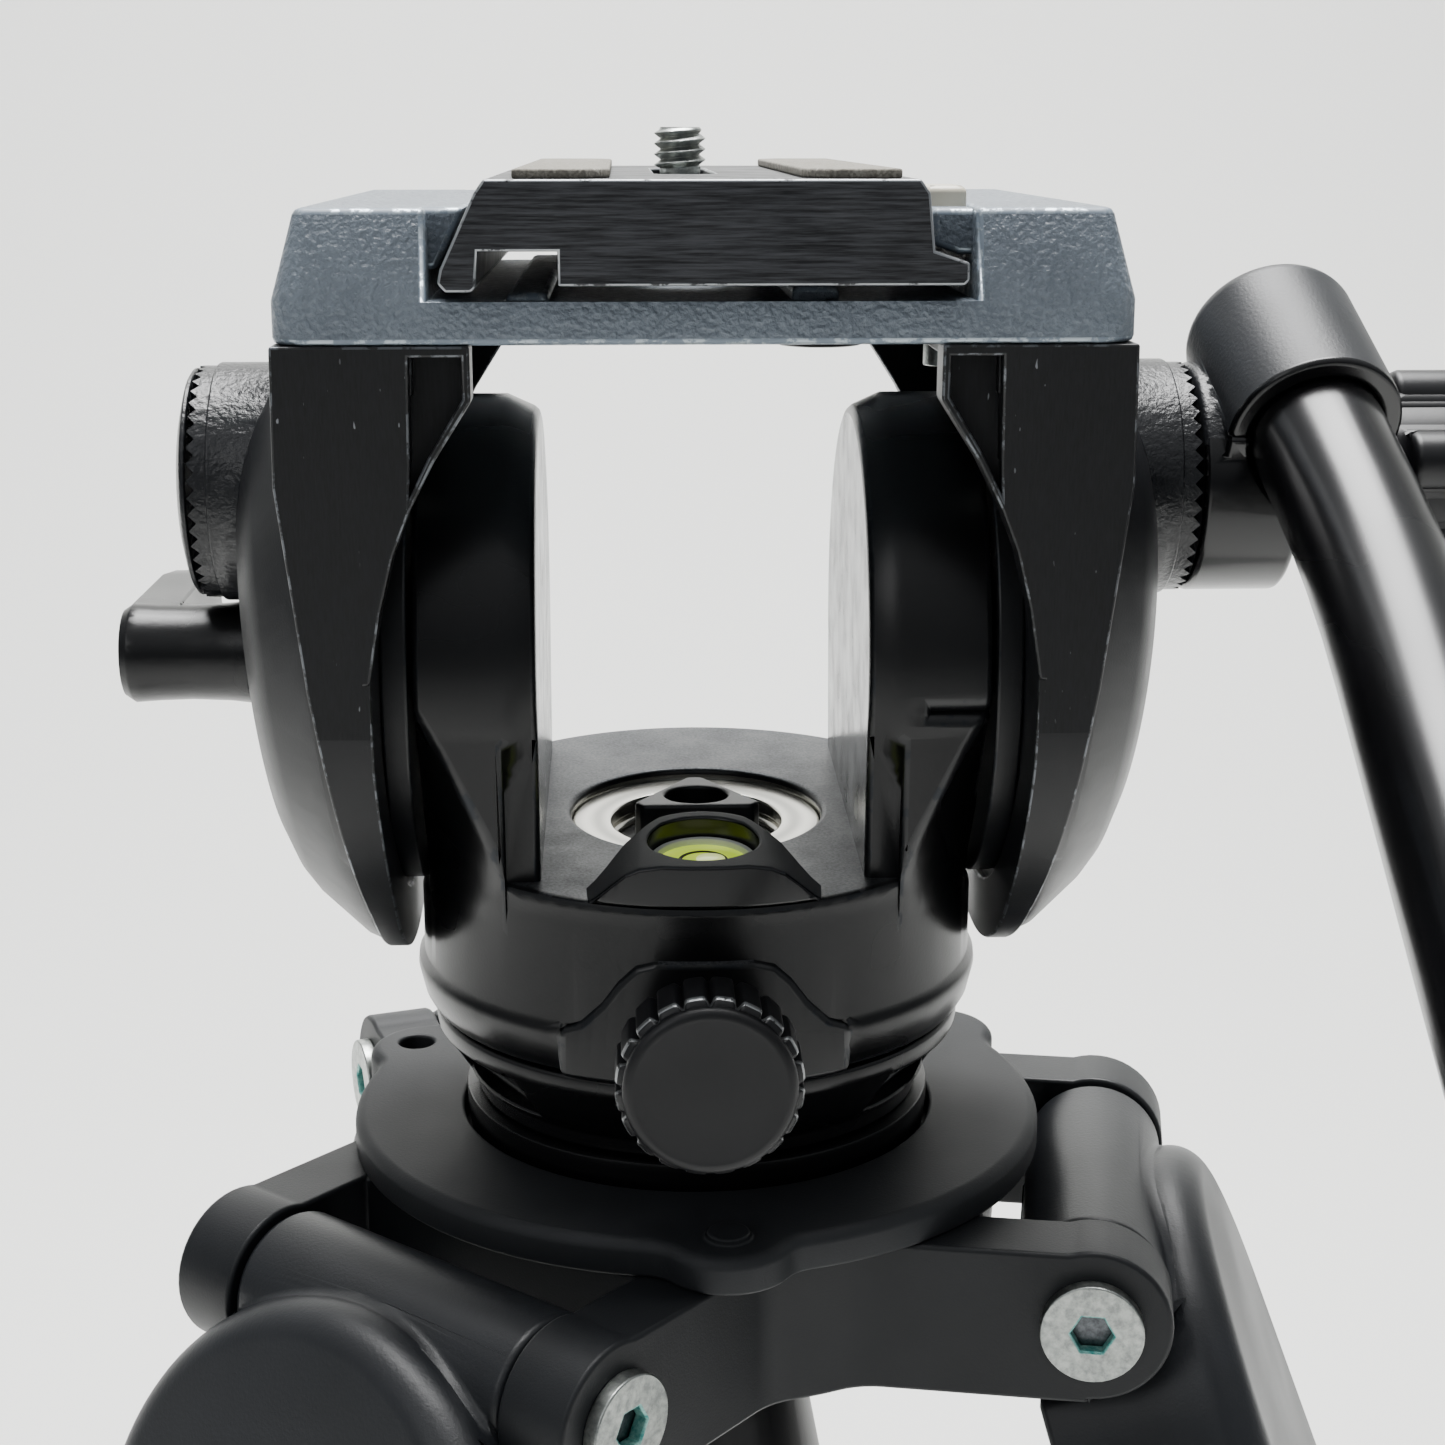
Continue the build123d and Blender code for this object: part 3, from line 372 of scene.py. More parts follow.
# %% Metals
finish.update({
    # Anodised die casting: dark charcoal with only a hint of metal.
    "plate": lined_metal(
        "anodised_die_cast_charcoal", "#232427", "#303134", 0.5, (1, 6, 1), 0.42, 0.35),
    # Brushed across: level streaks from side to side.
    "plate_end": lined_metal(
        "brushed_charcoal_end", "#17181a", "#47484c", 0.3, (22, 1, 1), 0.4, 0.35, 0.09),
    # Ground casting: mottled, dull grey.
    "ground": lined_metal(
        "ground_cast_aluminium", "#36373a", "#5b5d5f", 0.35, (1, 1, 1), 0.42, 0.7, 0.03),
    # Fine machining: reflects the bright room at a low angle.
    "cheek_face": lined_metal(
        "machined_cheek_face", "#38393b", "#3c3e40", 0.3, (1, 1, 12), 0.22, 0.5, 0.004),
    # Zinc plate: pale, soft grey with a bloom.
    "zinc": lined_metal("zinc_plated_steel", "#8f9391", "#bfc3be", 1.1, (1, 1, 1), 0.34, 1.0, 0.01),
    # Passivated zinc that no tool has rubbed: teal.
    "socket": lined_metal(
        "teal_passivated_zinc", "#2f8f8a", "#9ccfc6", 0.9, (1, 1, 1), 0.3, 0.35, 0.01),
    # Turned steel: bright, with faint rings.
    "bearing": turned_metal("turned_bearing_steel", "#b5b4ae", "#e9e7df", 3.14, 0.22),
    # Oiled steel: mid grey, seen only through gaps.
    "inside": lined_metal("oiled_spring_steel", "#55575a", "#787b7f", 0.8, (1, 1, 1), 0.34),
    # Drawn and anodised tube: lines along it, and a narrow highlight.
    "upper_tube": lined_metal(
        "black_anodised_tube", "#121316", "#1b1c20", 0.3, (1, 1, 30), 0.34, 0.5),
    # The same without dye: silver.
    "lower_tube": lined_metal(
        "clear_anodised_tube", "#8c8f92", "#b5b8ba", 0.3, (1, 1, 30), 0.3, 1.0),
})
print(len(finish), "finishes so far")

# %% Cork, spirit and bubble
finish.update({
    # Bonded cork: pale crumbs, no shine.
    "cork": cork_rubber(),
    # Dyed spirit: lime, and seems lit from inside.
    "spirit": spirit("dyed_spirit_lime", "#b4cf2e", "#cbe24c"),
    # Air in the spirit: the same, much paler.
    "bubble": spirit("air_bubble_pale_lime", "#e2f08a", "#f0f8b4"),
})
print(len(finish), "finishes:", ", ".join(sorted(finish)))

# %% [markdown]
# ## Soft edges
# No real edge is perfectly sharp: castings have a radius, machined parts a broken edge,
# and both catch the light. A part from the frame is copied, its loose triangles are
# merged into whole faces, and its edges are rounded. A Bevel modifier would do for most
# parts, but here some seams stay sharp and outer edges get a finish of their own, so
# bmesh rounds a chosen list of edges. Weighted normals keep big faces flat.

# %% Clean a part's mesh and shade it
def weld(mesh):
    """Merges a mesh's loose triangles and joins the flat ones into whole faces."""
    work = bmesh.new()
    work.from_mesh(mesh)
    bmesh.ops.remove_doubles(work, verts=work.verts, dist=0.002 * MM)
    bmesh.ops.dissolve_limit(work, angle_limit=radians(0.4), verts=work.verts, edges=work.edges)
    return work


def merge_slivers(work):
    """Joins corners closer than 0.15 mm, which are too small to round."""
    bmesh.ops.remove_doubles(work, verts=work.verts, dist=0.15 * MM)


def smooth_shading(piece, angle=34):
    """Smooth shading up to angle, with big faces kept flat."""
    piece.data.polygons.foreach_set("use_smooth", [True] * len(piece.data.polygons))
    piece.data.set_sharp_from_angle(angle=radians(angle))
    piece.modifiers.new("flat_faces", "WEIGHTED_NORMAL").keep_sharp = True
    depsgraph = bpy.context.evaluated_depsgraph_get()
    result = bpy.data.meshes.new_from_object(piece.evaluated_get(depsgraph))
    piece.modifiers.clear()
    piece.data = result
    return piece


def new_piece(name, mesh, *materials):
    """An object at the origin with these finishes, by number."""
    piece = bpy.data.objects.new(name, mesh)
    bpy.context.scene.collection.objects.link(piece)
    for material in materials:
        piece.data.materials.append(finish[material])
    return piece


def settle(piece, node):
    """The piece rides where its node does, and stands for it."""
    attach(piece, home[node])
    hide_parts(node)
    return piece


print("mesh helpers ready: weld, merge_slivers, smooth_shading, new_piece, settle")

# %% Copy a part of the frame with rounded edges
BODY, EDGE = 0, 1


def soften(node, width_mm, *materials, angle=32, segments=2, prepare=None, paint=None, skip=None):
    """A finished copy of a node. A second material goes on the rounded outer edges,
    paint gives each face one of the materials by its number, and skip names edges to
    leave sharp. A part with one material has its inner corners rounded too."""
    work = weld(frame["nodes"][node].data)
    if prepare:
        prepare(work)
    turns = [(e, e.calc_face_angle_signed()) for e in work.edges if len(e.link_faces) == 2]
    outer = [e for e, turn in turns if turn > radians(angle)]
    inner = [e for e, turn in turns if turn < -radians(angle)]
    own_edge = len(materials) > 1
    edges = outer if own_edge else outer + inner
    edges = [e for e in edges if not (skip and skip(e))]
    bmesh.ops.bevel(work, geom=edges, offset=width_mm * MM, segments=segments, profile=0.5,
                    affect="EDGES", clamp_overlap=False, material=EDGE if own_edge else BODY)
    work.normal_update()
    if paint:
        for face in work.faces:
            face.material_index = paint(face)
    mesh = bpy.data.meshes.new(node + "_finished")
    work.to_mesh(mesh)
    work.free()
    piece = new_piece(node + "_finished", mesh, *materials)
    return settle(smooth_shading(piece), node)


print("soften ready")

# %% [markdown]
# ## The camera block and its plate
# The block is cast, enamelled with a hammered texture and rubbed paler at the corners.
# The plate is a die casting with a sawn and brushed end, so its end faces get lines
# across them. One material could mix both by the face's direction, but a number for each
# face is simpler.

# %% Block, plate, pads and catch
BRUSHED = 2


def end_face(face):
    """The flat faces that look along Y are brushed."""
    looks_along_y = abs(face.normal.y) > 0.9
    return BRUSHED if face.material_index == BODY and looks_along_y else face.material_index


soften("platform", 0.7, "hammered", "edge_blue")
soften("camera_plate", 0.28, "plate", "edge_plate", "plate_end", prepare=merge_slivers, paint=end_face)
soften("grip_pads", 0.25, "cork")
soften("plate_release_button", 0.5, "cream")
soften("plate_lock_lever", 0.5, "abs", prepare=merge_slivers)
print("block and plate done")

# %% [markdown]
# ## The camera screw
# A 1/4-20 UNC screw is 6.35 mm across with a pitch of 1.27 mm. A thread is a height
# that rises by one pitch for each turn, so the screw is a tube whose radius follows
# the distance from the nearest crest, measured along a helix. A swept profile would do
# too, but it has to be joined to the core, and this skin is closed from the start.

# %% A skin over rings of points
def skin_mesh(name, rows, ring=False):
    """Closed skin over rows of points: a tube with flat ends, or a ring if its ends join."""
    work = bmesh.new()
    loops = [[work.verts.new(point) for point in row] for row in rows]
    followers = loops[1:] + loops[:1] if ring else loops[1:]
    count = len(rows[0])
    for low, high in zip(loops, followers):
        for i in range(count):
            j = (i + 1) % count
            work.faces.new((low[i], low[j], high[j], high[i]))
    if not ring:
        work.faces.new(loops[0][::-1])
        work.faces.new(loops[-1])
    bmesh.ops.recalc_face_normals(work, faces=work.faces)
    mesh = bpy.data.meshes.new(name)
    work.to_mesh(mesh)
    work.free()
    return mesh


print("skin helper ready")

# %% A real thread
PITCH, CREST, ROOT = 1.27, 3.17, 2.45


def flank(phase):
    """Share of the thread's depth cut away at a share of the pitch; its crest is at 0.5."""
    away = abs(phase - 0.5)
    return min(1.0, away * 2.4 - 0.1) if away > 0.05 else 0.0


def camera_screw():
    """A flange and a plain neck inside the plate, and a thread that fades in and out."""
    low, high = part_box("camera_screw")
    centre = (low + high) / 2
    top = high.z / MM
    start = plate_top / MM + 0.25
    steps, around = 14, 48
    flange, neck, foot = 6.3, 2.5, low.z / MM
    profile = [(flange, foot + 0.1), (flange, foot + 3.8), (neck, foot + 3.9), (neck, start - 0.2)]
    rows = [[(radius, i, z) for i in range(around)] for radius, z in profile]
    count = int((top - start) / PITCH * steps)
    for row in range(count + 1):
        z = start + (top - start) * row / count
        lead = max(min(1.0, (top - z) / 0.7, (z - start) / 0.3 + 0.2), 0.0)
        ring = []
        for i in range(around):
            radius = CREST - (CREST - ROOT) * flank((z / PITCH - i / around) % 1.0)
            ring.append((ROOT + (radius - ROOT) * lead, i, z))
        rows.append(ring)
    rows.append([(ROOT - 0.6, i, top) for i in range(around)])
    points = []
    for row in rows:
        turned = [(radius * MM, 2 * pi * i / around, z * MM) for radius, i, z in row]
        points.append([(centre.x + r * cos(a), centre.y + r * sin(a), z) for r, a, z in turned])
    screw = new_piece("camera_screw_threaded", skin_mesh("camera_screw_threaded", points), "zinc")
    return settle(smooth_shading(screw, 50), "camera_screw")


camera_screw()
print("thread cut")

# %% [markdown]
# ## Side arms
# Each arm is a casting with a shallow dome and a machined face towards the operator.
# The rosette on it is a ring of teeth, so its plain disc is trimmed off the copy here
# and cut again below with real teeth.

# %% Arms
TRIM = 57.7 * MM
FACED, PEBBLE = 2, 3
arm_side = 37.5 * MM


def trim_rosette(side):
    """Cuts the disc off the arm's boss, TRIM from the middle, and closes the cut."""
    def cut(work):
        geometry = work.verts[:] + work.edges[:] + work.faces[:]
        bmesh.ops.bisect_plane(work, geom=geometry, dist=1e-7, plane_co=(side * TRIM, 0, 0),
                               plane_no=(side, 0, 0), clear_outer=True)
        rim = [e for e in work.edges if len(e.link_faces) == 1]
        bmesh.ops.triangle_fill(work, use_beauty=True, edges=rim)
        bmesh.ops.recalc_face_normals(work, faces=work.faces)
    return cut


def arm_paint(face):
    """The flat faces that the operator sees are faced, and the boss is pebbled."""
    dome, boss_radius, smallest = 44 * MM, 14.8 * MM, 20 * MM * MM
    centre = face.calc_center_median()
    from_axis = hypot(centre.y - rosette_axis.y, centre.z - rosette_axis.z)
    if abs(centre.x) > dome and from_axis < boss_radius:
        return PEBBLE
    if face.material_index == BODY and abs(face.normal.y) > 0.97 and face.calc_area() > smallest:
        return FACED
    return face.material_index


def gusset_seam(edge):
    """The seam where the gusset lies flush against the arm."""
    return all(abs(abs(v.co.x) - arm_side) < 0.15 * MM for v in edge.verts)


for side, node in ((1, "arm_right"), (-1, "arm_left")):
    soften(node, 0.3, "arm_coat", "edge_black", "faced_coat", "pebble",
           prepare=trim_rosette(side), paint=arm_paint, skip=gusset_seam)
soften("tilt_flanges", 0.4, "arm_coat", "edge_soft")
soften("rosette_cap", 0.5, "pebble")
soften("arm_screws", 0.2, "zinc")
print("arms done")

# %% [markdown]
# ## Repeats with Geometry Nodes
# Teeth repeat round an axis. One tree copies its input, turning each copy a little more
# than the last, then makes the copies real and gives them their material, so the result
# is a plain mesh. An Array modifier could do it with an empty as its guide, but named
# inputs say the count and the turn in one place.

# %% A tree that repeats its input
def repeat_tree():
    """Count instances of the input, each turned about Z by Turn more than the last."""
    tree = bpy.data.node_groups.new("repeat_round", "GeometryNodeTree")
    tree.interface.new_socket("Geometry", in_out="INPUT", socket_type="NodeSocketGeometry")
    tree.interface.new_socket("Count", in_out="INPUT", socket_type="NodeSocketInt")
    tree.interface.new_socket("Turn", in_out="INPUT", socket_type="NodeSocketFloat")
    tree.interface.new_socket("Material", in_out="INPUT", socket_type="NodeSocketMaterial")
    tree.interface.new_socket("Geometry", in_out="OUTPUT", socket_type="NodeSocketGeometry")
    given = add(tree, "NodeGroupInput").outputs
    index = add(tree, "GeometryNodeInputIndex").outputs[0]
    turned = add(tree, "ShaderNodeMath", {0: index, 1: given["Turn"]}, operation="MULTIPLY").outputs[0]
    rotation = add(tree, "ShaderNodeCombineXYZ", {2: turned}).outputs[0]
    points = add(tree, "GeometryNodePoints", {"Count": given["Count"]}).outputs[0]
    copies = add(tree, "GeometryNodeInstanceOnPoints", {
        "Points": points, "Instance": given["Geometry"], "Rotation": rotation}).outputs[0]
    real = add(tree, "GeometryNodeRealizeInstances", {0: copies}).outputs[0]
    done = add(tree, "GeometryNodeSetMaterial", {"Geometry": real, "Material": given["Material"]})
    add(tree, "NodeGroupOutput", {0: done.outputs[0]})
    return tree


repeat = repeat_tree()
inputs = [item for item in repeat.interface.items_tree if item.in_out == "INPUT"]
socket_of = {item.name: item.identifier for item in inputs}


def repeated(name, unit, count, turn, material, place):
    """Copies of a unit mesh about Z, moved into place."""
    piece = new_piece(name, unit, material)
    modifier = piece.modifiers.new("repeat", "NODES")
    modifier.node_group = repeat
    modifier[socket_of["Count"]] = count
    modifier[socket_of["Turn"]] = turn
    modifier[socket_of["Material"]] = finish[material]
    depsgraph = bpy.context.evaluated_depsgraph_get()
    mesh = bpy.data.meshes.new_from_object(piece.evaluated_get(depsgraph))
    piece.modifiers.clear()
    piece.data = mesh
    mesh.transform(place)
    return piece


def face_along(axis, centre):
    """Matrix that stands Z along axis at centre."""
    return Matrix.Translation(centre) @ Vector(axis).to_track_quat("Z", "Y").to_matrix().to_4x4()


print("repeat tree inputs:", sorted(socket_of))

# %% [markdown]
# ## Rosettes
# Two rings of 44 radial teeth lock the pan bar at an angle. Cutting each notch with a
# boolean is slow, and all teeth are alike. So one tooth is made, a prism that widens with
# its distance from the centre, and the tree closes the ring with 44 of them.

# %% Toothed rings
TEETH = 44


def tooth(inner_mm, outer_mm, base_mm, ridge_mm):
    """One radial tooth along X, with its ridge up Z and a closed base."""
    half = pi / TEETH
    corners = []
    for radius in (inner_mm, outer_mm):
        width = radius * sin(half)
        reach = radius * cos(half)
        corners += [(reach, -width, 0), (reach, width, 0), (reach, width, base_mm)]
        corners += [(radius, 0, ridge_mm), (reach, -width, base_mm)]
    mesh = bpy.data.meshes.new("tooth")
    points = [tuple(v * MM for v in corner) for corner in corners]
    sides = [(0, 1, 2, 3, 4), (9, 8, 7, 6, 5), (4, 3, 8, 9), (3, 2, 7, 8), (1, 0, 5, 6)]
    mesh.from_pydata(points, [], sides)
    return mesh


def close_ring(piece):
    """Merges the teeth where they touch and turns every face outwards."""
    work = bmesh.new()
    work.from_mesh(piece.data)
    bmesh.ops.remove_doubles(work, verts=work.verts, dist=0.01 * MM)
    bmesh.ops.recalc_face_normals(work, faces=work.faces)
    work.to_mesh(piece.data)
    work.free()


def rosette(name, body, face_x, direction):
    """A toothed ring whose back is at face_x and whose teeth point along direction."""
    place = face_along((direction, 0, 0), (face_x, rosette_axis.y, rosette_axis.z))
    unit = tooth(inner_mm=4.4, outer_mm=14.1, base_mm=1.4, ridge_mm=2.35)
    ring = repeated(name, unit, TEETH, 2 * pi / TEETH, "pebble", place)
    close_ring(ring)
    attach(ring, body)


back = TRIM - 0.1 * MM
rosette("rosette_teeth_right", "tilt_head", back, 1)
rosette("rosette_teeth_left", "tilt_head", -back, -1)
print("rosettes cut,", TEETH, "teeth each")

# %% [markdown]
# ## Yoke and base
# The yoke is one enamelled casting. After it was enamelled, its floor was ground, a
# seat was turned for the bright bearing ring, and the inner faces of its cheeks were
# machined. Where a face is and which way it looks tell these surfaces apart.

# %% Yoke and the parts between its cheeks
GROUND, SEAT, MACHINED = 2, 3, 4
LID, FRONT = 0, 1
half_gap, seat_radius = 19.2 * MM, 16.2 * MM


def yoke_paint(face):
    """Ground floor, bright seat and machined inner faces; the rest is enamel."""
    centre = face.calc_center_median()
    below_plate = (plate_top - centre.z) / MM
    if hypot(centre.x, centre.y) < seat_radius and 79.9 < below_plate < 90:
        return SEAT
    if abs(centre.x) < half_gap and face.normal.z > 0.9 and below_plate > 74:
        return GROUND
    if abs(centre.x) < half_gap and abs(face.normal.x) > 0.98:
        return MACHINED
    return face.material_index


def bezel_paint(face):
    """The lid is matte and the front, which wraps over the edge, is glossy."""
    return LID if face.normal.z > 0.55 or face.normal.y > 0.5 else FRONT


soften("yoke", 0.8, "cast_coat", "edge_soft", "ground", "bearing", "cheek_face",
       angle=40, paint=yoke_paint)
soften("bearing_ring", 0.4, "bearing")
soften("pan_nut", 0.5, "abs")
soften("bubble_bezel", 0.4, "matte", "gloss",
       angle=30, segments=3, prepare=merge_slivers, paint=bezel_paint)
soften("pan_base", 0.6, "cast_coat")
soften("half_ball", 0.3, "cast_coat")
print("yoke and base done")

# %% [markdown]
# ## The level
# A round level is a shallow cup of spirit with a bubble, read against a ring line. Each
# part is turned, so it is a short list of radii and heights swept round the level's own
# axis. The bubble could be a boolean cut, but a pale disc just proud of the spirit is
# simpler and reads the same.

# %% Turned parts
def turned_rows(profile, matrix, count=64):
    """Rings of points about the matrix's Z, from (radius, height) in mm."""
    rows = []
    for radius, height in profile:
        ring = []
        for i in range(count):
            angle = 2 * pi * i / count
            point = Vector((radius * MM * cos(angle), radius * MM * sin(angle), height * MM))
            ring.append(matrix @ point)
        rows.append(ring)
    return rows


def level_part(name, profile, material, matrix=level_place, ring=False):
    """One turned part of the level; ring joins its first row to its last."""
    mesh = skin_mesh(name, turned_rows(profile, matrix), ring)
    return smooth_shading(new_piece(name, mesh, material), 40)


print("turning helper ready")

# %% Spirit, rim, ring line and bubble
spirit_profile = [(5.9, -4.3), (5.9, -3.2), (4.0, -3.02), (1.5, -2.95), (0.1, -2.94)]
rim_profile = [(5.4, -4.3), (6.35, -4.3), (6.35, -2.7), (6.1, -2.45), (5.6, -2.5), (5.4, -2.9)]
line_profile = [(2.55, -3.1), (2.95, -3.1), (2.95, -2.9), (2.55, -2.9)]
bubble_profile = [(1.7, -3.1), (1.7, -2.9), (1.3, -2.75), (0.7, -2.66), (0.1, -2.64)]
bubble_place = level_place @ Matrix.Translation((0.9 * MM, 0.5 * MM, 0))
settle(level_part("level_spirit", spirit_profile, "spirit"), "bubble_vial")
extras = [
    level_part("level_rim", rim_profile, "white_ring", ring=True),
    level_part("level_ring_line", line_profile, "abs", ring=True),
    level_part("level_bubble", bubble_profile, "bubble", matrix=bubble_place),
]
for extra in extras:
    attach(extra, home["bubble_vial"])
print("level made of", len(extras) + 1, "pieces")

# %% [markdown]
# ## The fluted knob
# The pan lock knob is moulded with twenty narrow flutes for the fingers. Cutting them
# with booleans leaves thin slivers. So its outline is a circle whose radius dips in
# sharp waves, lofted from the skirt to the ribs' ends, with a plain disc for its face.

# %% Pan lock knob
FLUTES, DIP, KNOB_BACK = 20, 1.05, -40.5


def fluted_rows(profile, matrix, per_flute=16, sharpness=9):
    """Rings whose radius waves; profile is (radius, height, share of the dip) in mm."""
    count = FLUTES * per_flute
    rows = []
    for radius, height, share in profile:
        ring = []
        for i in range(count):
            angle = 2 * pi * i / count
            wave = (0.5 + 0.5 * cos(angle * FLUTES)) ** sharpness
            r = (radius - DIP * share * wave) * MM
            ring.append(matrix @ Vector((r * cos(angle), r * sin(angle), height * MM)))
        rows.append(ring)
    return rows


def pan_lock_knob():
    """A face disc with a soft rim, in front of twenty ribs rubbed pale at their ends."""
    matrix = face_along((0, -1, 0), (0, KNOB_BACK * MM, plate_top - 97.5 * MM))
    shaft = [(3.0, -11.9, 0), (3.0, 0.1, 0)]
    ribs = [(9.6, 0.1, 0), (10.3, 0.5, 0.8), (10.55, 1.1, 1), (10.55, 7.3, 1), (10.3, 7.9, 1)]
    rim = [(9.75, 8.15, 0.2), (9.75, 8.5, 0), (9.6, 9.1, 0), (9.1, 9.42, 0), (8.5, 9.48, 0)]
    disc = [(8.1, 9.38, 0), (4.0, 9.36, 0), (0.6, 9.36, 0)]
    rows = fluted_rows(shaft + ribs + rim + disc, matrix)
    name = "pan_lock_knob_fluted"
    knob = new_piece(name, skin_mesh(name, rows), "abs", "edge_knob")
    for face in knob.data.polygons:
        ahead = KNOB_BACK - face.center.y / MM
        face.material_index = EDGE if 7.3 < ahead < 8.0 else BODY
    return settle(smooth_shading(knob, 50), "pan_lock_knob")


pan_lock_knob()
print("knob cut with", FLUTES, "flutes")

# %% [markdown]
# ## Crown, legs and feet
# The crown and collars are moulded in glass-filled nylon: matte, slightly rough, with
# generous radii. The shoulders are coated, the locks are smooth plastic, and the feet are
# rubber. The bolts' heads are zinc plated, and their hexagons kept a teal passivate.

# %% Crown and bolts
HEXAGON = 2


def bolt_paint(face):
    """Small faces near a bolt's axis are inside its hexagon."""
    smallest_head, hexagon_radius = 20 * MM * MM, 2.45 * MM
    centre = face.calc_center_median()
    if face.calc_area() > smallest_head:
        return BODY
    for hinge in hinges:
        away = centre - Vector(hinge["pos_m"])
        axis = Vector(hinge["axis"])
        if (away - axis * away.dot(axis)).length < hexagon_radius:
            return HEXAGON
    return BODY


soften("ring_plate", 0.5, "matte")
soften("crown_casting", 0.6, "nylon", prepare=merge_slivers)
soften("hinge_bolts", 0.25, "zinc", "zinc", "socket", paint=bolt_paint)
soften("tie_down_knob", 1.0, "abs")
soften("tie_down_stud", 0.3, "zinc")
print("crown done")

# %% Legs
for number in legs:
    soften(f"leg_shoulder_{number}", 1.0, "shoulder")
    soften(f"leg_collar_{number}", 0.8, "nylon")
    soften(f"spreader_bracket_{number}", 0.6, "nylon")
    soften(f"leg_lock_lever_{number}", 0.7, "abs")
    soften(f"spreader_arm_{number}", 0.5, "abs")
    soften(f"foot_{number}", 0.8, "rubber")
soften("spreader_hub", 0.7, "abs")
print("legs done")

# %% [markdown]
# ## Pan bar and locks
# The clamp is painted, its socket has a gloss lip, and the bar is a gloss enamelled
# tube with a soft grip at the end. The clamp's barrel is pebbled like the boss beside it,
# so the two read as a pair.

# %% Clamp, knob, lever and grip
SATIN, LIP, BARREL = 0, 1, 2


def clamp_paint(face):
    """Gloss on the socket's rim, pebble on the barrel and satin elsewhere."""
    lip_depth, barrel_end, barrel_inner, barrel_outer = 1.3 * MM, 72.2 * MM, 13.5 * MM, 14.4 * MM
    centre = face.calc_center_median()
    if (centre - socket_mouth).dot(bar_way) > -lip_depth:
        return LIP
    from_axis = hypot(centre.y - rosette_axis.y, centre.z - rosette_axis.z)
    on_barrel = centre.x < barrel_end and barrel_inner < from_axis < barrel_outer
    return BARREL if on_barrel else SATIN


soften("pan_bar_clamp", 0.8, "shoulder", "gloss", "pebble", segments=3, paint=clamp_paint)
soften("clamp_knob", 1.0, "abs")
soften("tilt_lock_lever", 0.3, "cast_coat", angle=60, segments=1, prepare=merge_slivers)
soften("bar_grip", 0.8, "rubber")
soften("bar_cap", 0.8, "abs")
print("pan bar's clamp and grip done")

# %% [markdown]
# ## Parts whose shape needs no more work
# Tubes, pins and what is inside the housings have no edge that the light would catch, so
# they keep their own mesh and only get a finish.

# %% Finish the remaining nodes
plain = {
    "pan_bar": "gloss",
    "tilt_shafts": "inside",
    "drag_discs": "inside",
    "counterbalance_spring": "inside",
    "hinge_axles": "inside",
    "hub_pins": "zinc",
}
for number in legs:
    plain[f"upper_tubes_{number}"] = "upper_tube"
    plain[f"lower_tube_{number}"] = "lower_tube"
for node, name in plain.items():
    mesh = frame["nodes"][node].data
    mesh.materials.clear()
    mesh.materials.append(finish[name])
print(len(plain), "nodes keep their own mesh")

# %% [markdown]
# ## Floor, light and camera
# A pale sweep stands behind the object, under one large soft light, as in a studio with
# a skylight. A second light washes the sweep, and a weak one fills the shadows from the
# operator's side. Black things show what they reflect, so the room has a bright ceiling
# and a dim wall.

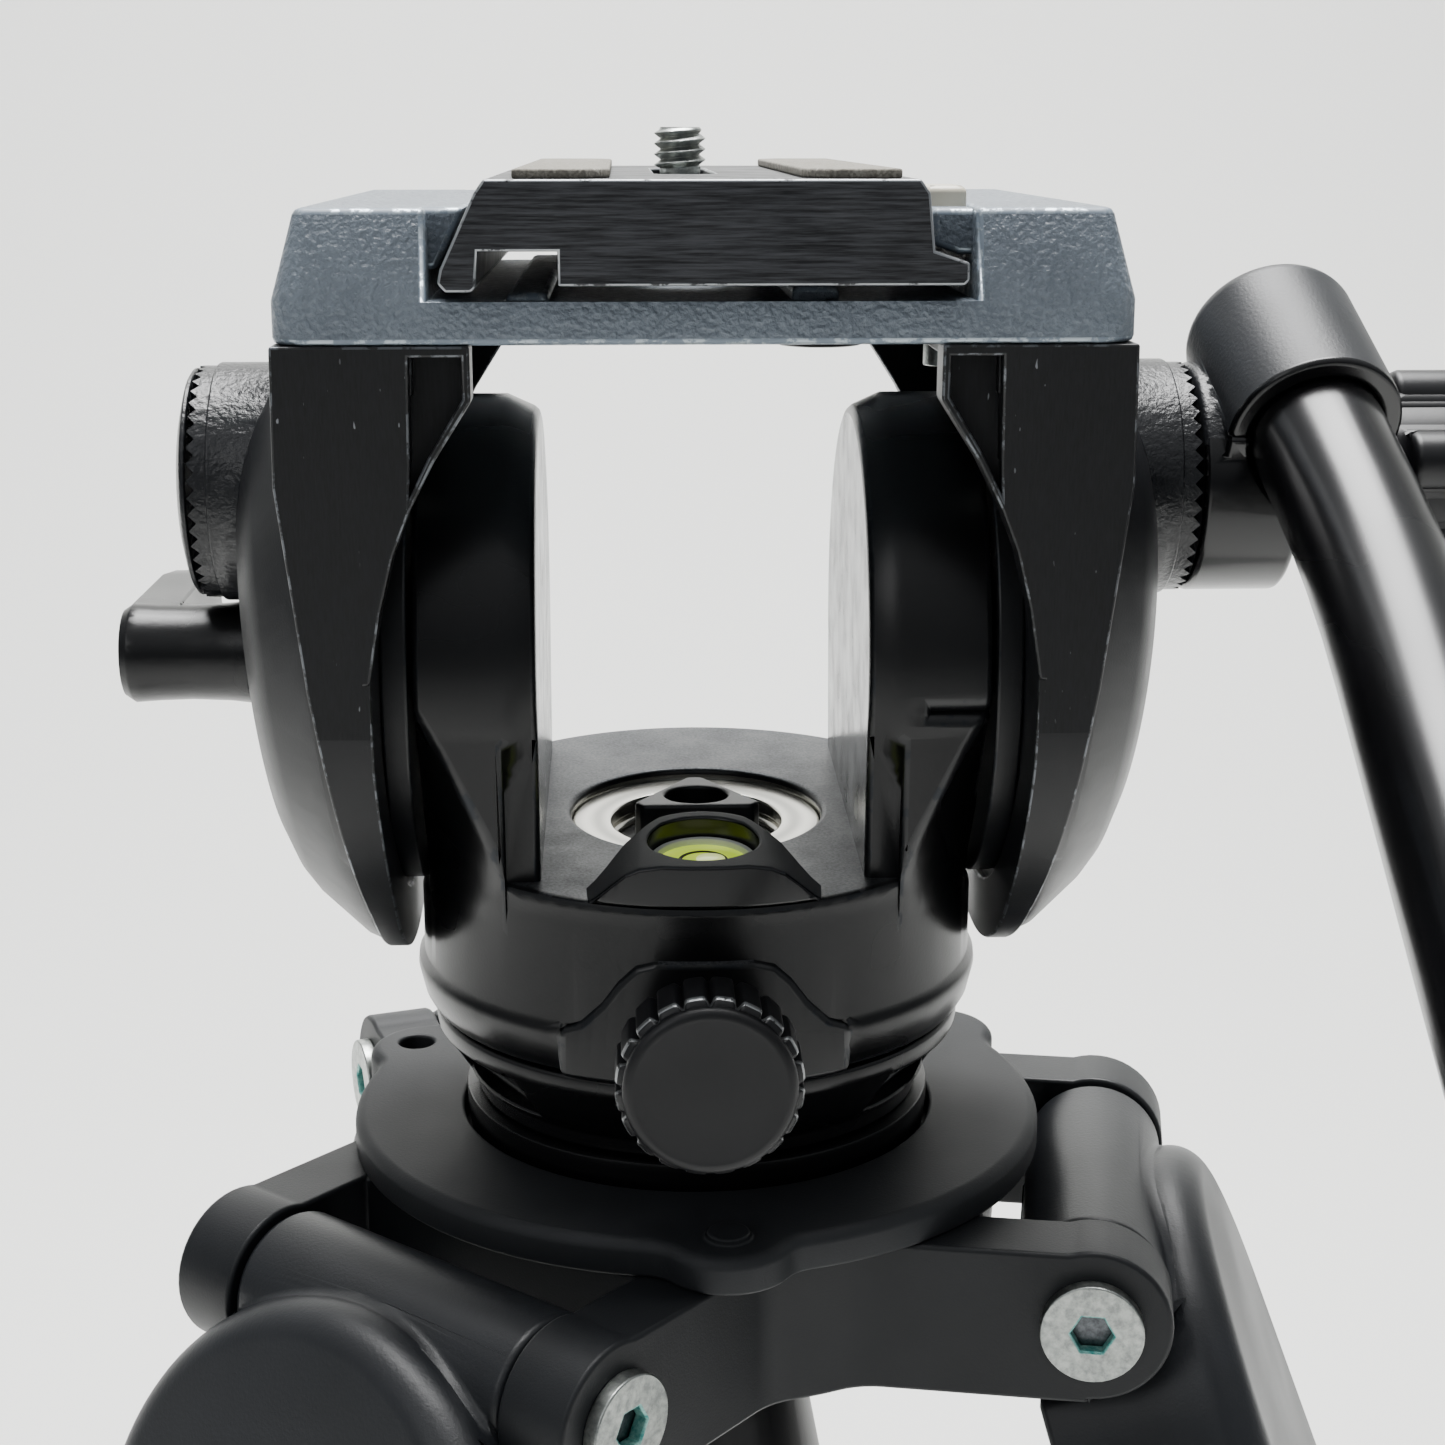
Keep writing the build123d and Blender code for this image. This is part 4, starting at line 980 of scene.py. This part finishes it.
# %% Stage
def sweep():
    """Floor that curves up into a backdrop, in metres."""
    half, near, far, height, bend, steps = 6.0, -5.0, 2.6, 4.0, 1.2, 12
    path = [(near, 0.0), (far - bend, 0.0)]
    for i in range(1, steps + 1):
        angle = pi / 2 * i / steps
        path.append((far - bend + bend * sin(angle), bend - bend * cos(angle)))
    path.append((far, height))
    points = [(x, y, z) for y, z in path for x in (-half, half)]
    faces = [(2 * i, 2 * i + 1, 2 * i + 3, 2 * i + 2) for i in range(len(path) - 1)]
    mesh = bpy.data.meshes.new("paper_sweep")
    mesh.from_pydata(points, [], faces)
    mesh.polygons.foreach_set("use_smooth", [True] * len(mesh.polygons))
    paper = start_material("seamless_paper", Roughness=0.9, Base_Color=linear("#f5f5f2"))[0]
    mesh.materials.append(paper)
    piece = bpy.data.objects.new("paper_sweep", mesh)
    bpy.context.scene.collection.objects.link(piece)


sweep()
print("floor and backdrop stand")

# %% Lights
def area_light(name, position, target, size, power):
    """A round soft light in metres and watts, aimed at target."""
    lamp = bpy.data.lights.new(name, "AREA")
    lamp.shape, lamp.size, lamp.energy = "DISK", size, power
    piece = bpy.data.objects.new(name, lamp)
    bpy.context.scene.collection.objects.link(piece)
    piece.location = position
    aim = Vector(target) - Vector(position)
    piece.rotation_euler = aim.to_track_quat("-Z", "Y").to_euler()


head = (0, 0, plate_top)
area_light("skylight", (0.1, 0.95, 2.9), head, 1.7, 105)
area_light("wash", (0, 0.4, 2.7), (0, 2.5, 0.2), 1.6, 95)
area_light("fill", (-1.4, -1.6, 1.9), head, 1.2, 5)
print("three lights hung")

# %% Room
def studio_world():
    """Bright ceiling that falls to a dim wall, so upright black faces stay deep."""
    world = bpy.data.worlds.new("room")
    world.use_nodes = True
    tree = world.node_tree
    direction = add(tree, "ShaderNodeTexCoord").outputs["Generated"]
    height = add(tree, "ShaderNodeSeparateXYZ", {0: direction}).outputs[2]
    colour = tint(tree, between(tree, height, 0.0, 0.9), "#64686d", "#e8ebee")
    background = tree.nodes["Background"]
    tree.links.new(colour, background.inputs["Color"])
    background.inputs["Strength"].default_value = 0.8
    return world


bpy.context.scene.world = studio_world()
print("room lit from above")

# %% [markdown]
# ## The camera
# The operator stands close and looks down a little. A near eye makes the near parts
# large, so its place matters more than its lens. Both are set here, and the camera is
# turned by two plain angles, down and to the right.

# %% Camera
look_down, look_right = radians(13.86), radians(2.4)
camera = bpy.data.cameras.new("camera")
camera.lens, camera.sensor_width = 59.8, 36.0
camera.clip_start = 0.01
eye = bpy.data.objects.new("camera", camera)
bpy.context.scene.collection.objects.link(eye)
eye.location = (-9 * MM, -295 * MM, plate_top + 4.8 * MM)
eye.rotation_euler = (pi / 2 - look_down, 0, -look_right)
bpy.context.scene.camera = eye
print("camera", round(-eye.location.y / MM), "mm in front of the pan axis")
